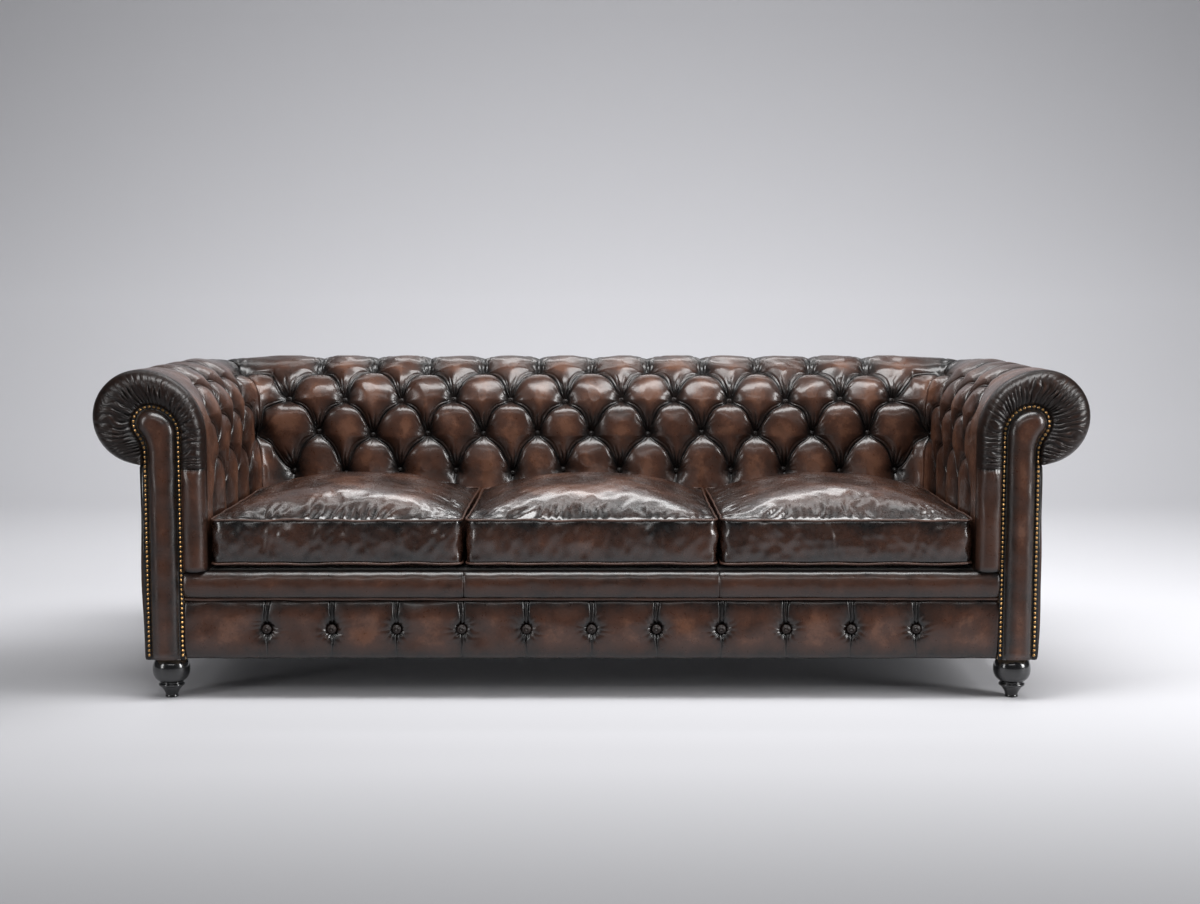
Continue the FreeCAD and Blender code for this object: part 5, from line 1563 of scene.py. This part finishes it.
class SOFA_OT_arm_fronts(Operator):
    """Build each arm's pleated scroll, plain lower front, padded strip, gimp and nails"""

    bl_idname = "sofa.arm_fronts"
    bl_label = "Arm Fronts"

    def execute(self, context):
        looks = context.scene.sofa_upholstery
        for name, side in (("left", -1), ("right", 1)):
            scroll = scroll_ring(name + "_gathered_scroll", side, looks, finish_named("scroll"))
            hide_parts(name + "_scroll_pleats")
            plain = lower_front(name + "_plain_front", side, looks, finish_named("wall"))
            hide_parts(name + "_arm_lower_front")
            strip = facing_strip(name + "_padded_strip", side, looks, finish_named("wall"))
            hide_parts(name + "_facing_panel")
            for piece in (scroll, plain, strip):
                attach(piece, "sofa")
            gimp = gimp_band(name + "_gimp", side, finish_named("gimp"))
            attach(gimp, "sofa")
            nails = strip_nails(name + "_nail_heads", side, looks, finish_named("brass"))
            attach(nails, "sofa")
            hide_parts(name + "_facing_nails")
        return {"FINISHED"}


class SOFA_OT_outside(Operator):
    """Build the plain leather on the outside of back and arms"""

    bl_idname = "sofa.outside"
    bl_label = "Outside Covers"

    def execute(self, context):
        turn_end = CORNER_X + CORNER_RUN
        corner = np.linspace(CORNER_X, turn_end, 26)
        flat = np.linspace(-CORNER_X, CORNER_X, 190)
        runs = np.concatenate([-corner[:0:-1], flat, corner[1:]])
        back = outside_wall("outside_back_leather", runs, 0.145, WALL, 121, finish_named("wall"))
        front = CORNER_X + CORNER_RUN + CORNER_Y - FLANGE_Y
        arm_runs = np.linspace(turn_end + 0.0003, front, 84)
        left = outside_wall("left_outside_arm_leather", -arm_runs, 0.1412, WALL, 124, finish_named("wall"))
        right = outside_wall("right_outside_arm_leather", arm_runs, 0.1412, WALL, 127, finish_named("wall"))
        pieces = (back, left, right)
        nodes = ("outside_back_cover", "left_outside_arm_cover", "right_outside_arm_cover")
        for piece, node in zip(pieces, nodes):
            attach(piece, "sofa")
            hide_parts(node)
        return {"FINISHED"}


class SOFA_OT_feet(Operator):
    """Turn the four lacquered feet"""

    bl_idname = "sofa.feet"
    bl_label = "Feet"

    def execute(self, context):
        for name in ("left_front_foot", "right_front_foot", "left_rear_foot", "right_rear_foot"):
            low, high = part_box(name)
            foot = turned_foot(name.replace("_foot", "_turned_foot"), (low + high) / 2, finish_named("foot"))
            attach(foot, "sofa")
            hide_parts(name)
        return {"FINISHED"}


class SOFA_OT_cushions(Operator):
    """Fill the three loose cushions by cloth simulation, crease their leather and pipe their seams"""

    bl_idname = "sofa.cushions"
    bl_label = "Seat Cushions"

    def execute(self, context):
        looks = context.scene.sofa_cushions
        count_x, count_y, rows = 72, 80, 12
        for index, name in enumerate(("left", "centre", "right")):
            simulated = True
            crown = looks.crown if simulated else looks.crown_full
            points, quads, net = cushion_form(index, count_x, count_y, rows, crown, looks.swell)
            if simulated:
                under = np.nonzero(points[:, 2] < LOW_SEAM - 0.004)[0]
                held = np.unique(np.concatenate([net[0], net[-1], under]))
                points = inflate(points, quads, held, looks.most_move)
            points, quads = refine(points, quads)
            points, rubbing_and_painted_light = creased(points, quads, 200 + 20 * index, looks)
            points[:, 2] = np.maximum(points[:, 2], CUSHION_LOW)
            cushion = new_piece(name + "_seat_cushion", points, [quads], finish_named("seat"), {"rubbing_and_painted_light": rubbing_and_painted_light})
            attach(cushion, name + "_cushion")
            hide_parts(name + "_cushion_cover", name + "_cushion_core")
            welts = cushion_welts(name + "_cushion_welts", index, finish_named("welt"))
            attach(welts, name + "_cushion")
            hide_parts(name + "_cushion_piping")
        return {"FINISHED"}


def area_light(name, place, target, width, height, power, colour=(1.0, 1.0, 1.0)):
    data = bpy.data.lights.new(name, "AREA")
    data.shape, data.size, data.size_y, data.energy, data.color = "RECTANGLE", width, height, power, colour
    lamp = bpy.data.objects.new(name, data)
    lamp.location = place
    lamp.rotation_euler = (Vector(target) - Vector(place)).to_track_quat("-Z", "Y").to_euler()
    bpy.context.scene.collection.objects.link(lamp)
    return lamp


# Painted light on the sweep: share of the floor's colour by distance along it, falling off towards the camera
# and up the backdrop, and how much darker its left side is, a painted shadow of the sofa
FLOOR_PAINTED_LIGHT = [(-2.2, 0.25), (-1.7, 0.33), (-1.2, 0.45), (-0.63, 0.60), (0.0, 0.70), (0.8, 0.82), (3.1, 0.93),
               (5.05, 1.05), (5.9, 0.87), (6.95, 0.66), (9.0, 0.58)]
FLOOR_SHADE = 0.36
FLOOR_HALF = 9.0
FLOOR_END = 3.2
SWEEP_RADIUS = 2.4


def studio_sweep(finish):
    """Floor and backdrop in one sheet: flat, a wide quarter turn behind the sofa, then upright."""
    x = np.linspace(-FLOOR_HALF, FLOOR_HALF, 181)
    floor = np.linspace(-FLOOR_HALF, FLOOR_END, 124)
    turn = np.linspace(0, math.pi / 2, 25)[1:]
    upright = np.linspace(0.5, 5.5, 8)
    y = np.concatenate([floor, FLOOR_END + SWEEP_RADIUS * np.sin(turn), 0 * upright + FLOOR_END + SWEEP_RADIUS])
    z = np.concatenate([0 * floor, SWEEP_RADIUS * (1 - np.cos(turn)), SWEEP_RADIUS + upright])
    gx, gy = np.meshgrid(x, y, indexing="ij")
    gz = np.broadcast_to(z[None, :], gx.shape)
    mesh = bpy.data.meshes.new("studio_sweep")
    faces = grid_faces(len(x), len(y))
    mesh.from_pydata(np.stack([gx, gy, gz], -1).reshape(-1, 3).tolist(), [], faces.tolist())
    mesh.polygons.foreach_set("use_smooth", np.ones(len(faces), bool))
    arc_end = FLOOR_END + SWEEP_RADIUS * math.pi / 2
    run = np.concatenate([floor, FLOOR_END + SWEEP_RADIUS * turn, arc_end + upright])
    # Painted light: the floor's colour falls off along the sweep; a painted shadow darkens the floor to the
    # left of the sofa.
    painted_floor_light = np.interp(run, *np.array(FLOOR_PAINTED_LIGHT).T)
    painted_shadow_mask = smooth_step(1.0, 1.5, -x)[:, None] * np.exp(-(np.abs(y + 0.22) / 0.50) ** 3)[None, :]
    painted_floor_light = painted_floor_light[None, :] * (1 - FLOOR_SHADE * painted_shadow_mask * (z < 0.01))
    layer = mesh.attributes.new("painted_floor_light", "FLOAT", "POINT")
    layer.data.foreach_set("value", painted_floor_light.ravel().astype(np.float32))
    mesh.materials.append(finish)
    sweep = bpy.data.objects.new("studio_sweep", mesh)
    bpy.context.scene.collection.objects.link(sweep)
    return sweep


class SOFA_OT_stage(Operator):
    """Set the pale studio, its soft lights and the camera"""

    bl_idname = "sofa.stage"
    bl_label = "Stage"

    def execute(self, context):
        scene, stage = context.scene, context.scene.sofa_stage
        material, tree, shader = new_material("studio_floor")
        # The floor's colour scaled by the sweep's painted light and painted shadow.
        painted_floor_light = node_of(tree, "ShaderNodeAttribute", attribute_name="painted_floor_light").outputs["Fac"]
        colour = tuple(scene.sofa_colours.floor)
        link(tree, ramp(tree, painted_floor_light, [(0.0, (0.0, 0.0, 0.0)), (1.0, colour)]), shader.inputs["Base Color"])
        shader.inputs["Roughness"].default_value = 0.65
        shader.inputs["Specular IOR Level"].default_value = 0.25
        sweep = studio_sweep(material)
        world = bpy.data.worlds.new("studio_air")
        world.use_nodes = True
        world.node_tree.nodes["Background"].inputs["Color"].default_value = (0.93, 0.95, 1.0, 1.0)
        world.node_tree.nodes["Background"].inputs["Strength"].default_value = 0.05
        scene.world = world
        area_light("overhead", (0.3, -0.9, 3.1), (0.0, 0.1, 0.4), 3.4, 1.1, stage.key_power)
        area_light("right_side", (3.5, -1.7, 1.5), (0.2, 0.0, 0.45), 0.8, 2.0, 1.15 * stage.side_power)
        area_light("left_side", (-3.2, -2.5, 1.35), (-0.4, 0.0, 0.45), 0.7, 2.0, 0.38 * stage.side_power)
        area_light("rear", (0.0, 2.7, 3.0), (0.0, 0.4, 0.4), 2.4, 0.6, 0.15 * stage.key_power)
        area_light("front", (0.0, -4.4, 2.9), (0.0, 0.0, 0.35), 3.6, 0.5, 0.16 * stage.key_power)
        area_light("backdrop", (0.0, 1.6, 3.4), (0.0, 3.6, 0.6), 6.0, 1.0, 0.45 * stage.key_power)
        data = bpy.data.cameras.new("studio_camera")
        data.lens, data.sensor_width, data.sensor_fit = stage.lens, 36.0, "HORIZONTAL"
        camera = bpy.data.objects.new("studio_camera", data)
        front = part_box("left_facing_panel")[0].y
        camera.location = (stage.camera_side, front - stage.camera_distance, stage.camera_height)
        camera.rotation_euler = (math.pi / 2 - stage.camera_pitch, 0.0, 0.0)
        scene.collection.objects.link(camera)
        scene.camera = camera
        scene.view_settings.view_transform = "Standard"
        return {"FINISHED"}


class SOFA_PT_panel(Panel):
    """Sizes, colours and pieces of the sofa"""

    bl_idname = "SOFA_PT_panel"
    bl_label = "Chesterfield Sofa"
    bl_space_type = "VIEW_3D"
    bl_region_type = "UI"
    bl_category = "Sofa"

    def draw(self, context):
        layout, scene = self.layout, context.scene
        for group in (scene.sofa_upholstery, scene.sofa_cushions, scene.sofa_colours, scene.sofa_stage):
            box = layout.box()
            for key in group.bl_rna.properties.keys():
                if key not in ("rna_type", "name"):
                    box.prop(group, key)
        for step in STEPS:
            layout.operator("sofa." + step)


STEPS = [
    "finishes", "frame_finishes", "tufted_walls", "front_rail", "arm_fronts",
    "outside", "feet", "cushions", "stage",
]
GROUPS = {
    "sofa_upholstery": SofaUpholsterySettings,
    "sofa_cushions": SofaCushionSettings,
    "sofa_colours": SofaColourSettings,
    "sofa_stage": SofaStageSettings,
}
CLASSES = [*GROUPS.values(), SOFA_OT_finishes, SOFA_OT_frame, SOFA_OT_walls, SOFA_OT_front, SOFA_OT_arm_fronts,
           SOFA_OT_outside, SOFA_OT_feet, SOFA_OT_cushions, SOFA_OT_stage, SOFA_PT_panel]


def register():
    for each in CLASSES:
        bpy.utils.register_class(each)
    for key, group in GROUPS.items():
        setattr(bpy.types.Scene, key, PointerProperty(type=group))


def unregister():
    for key in GROUPS:
        delattr(bpy.types.Scene, key)
    for each in reversed(CLASSES):
        bpy.utils.unregister_class(each)


def main():
    register()
    for step in STEPS:
        getattr(bpy.ops.sofa, step)()


if __name__ == "__main__":
    main()
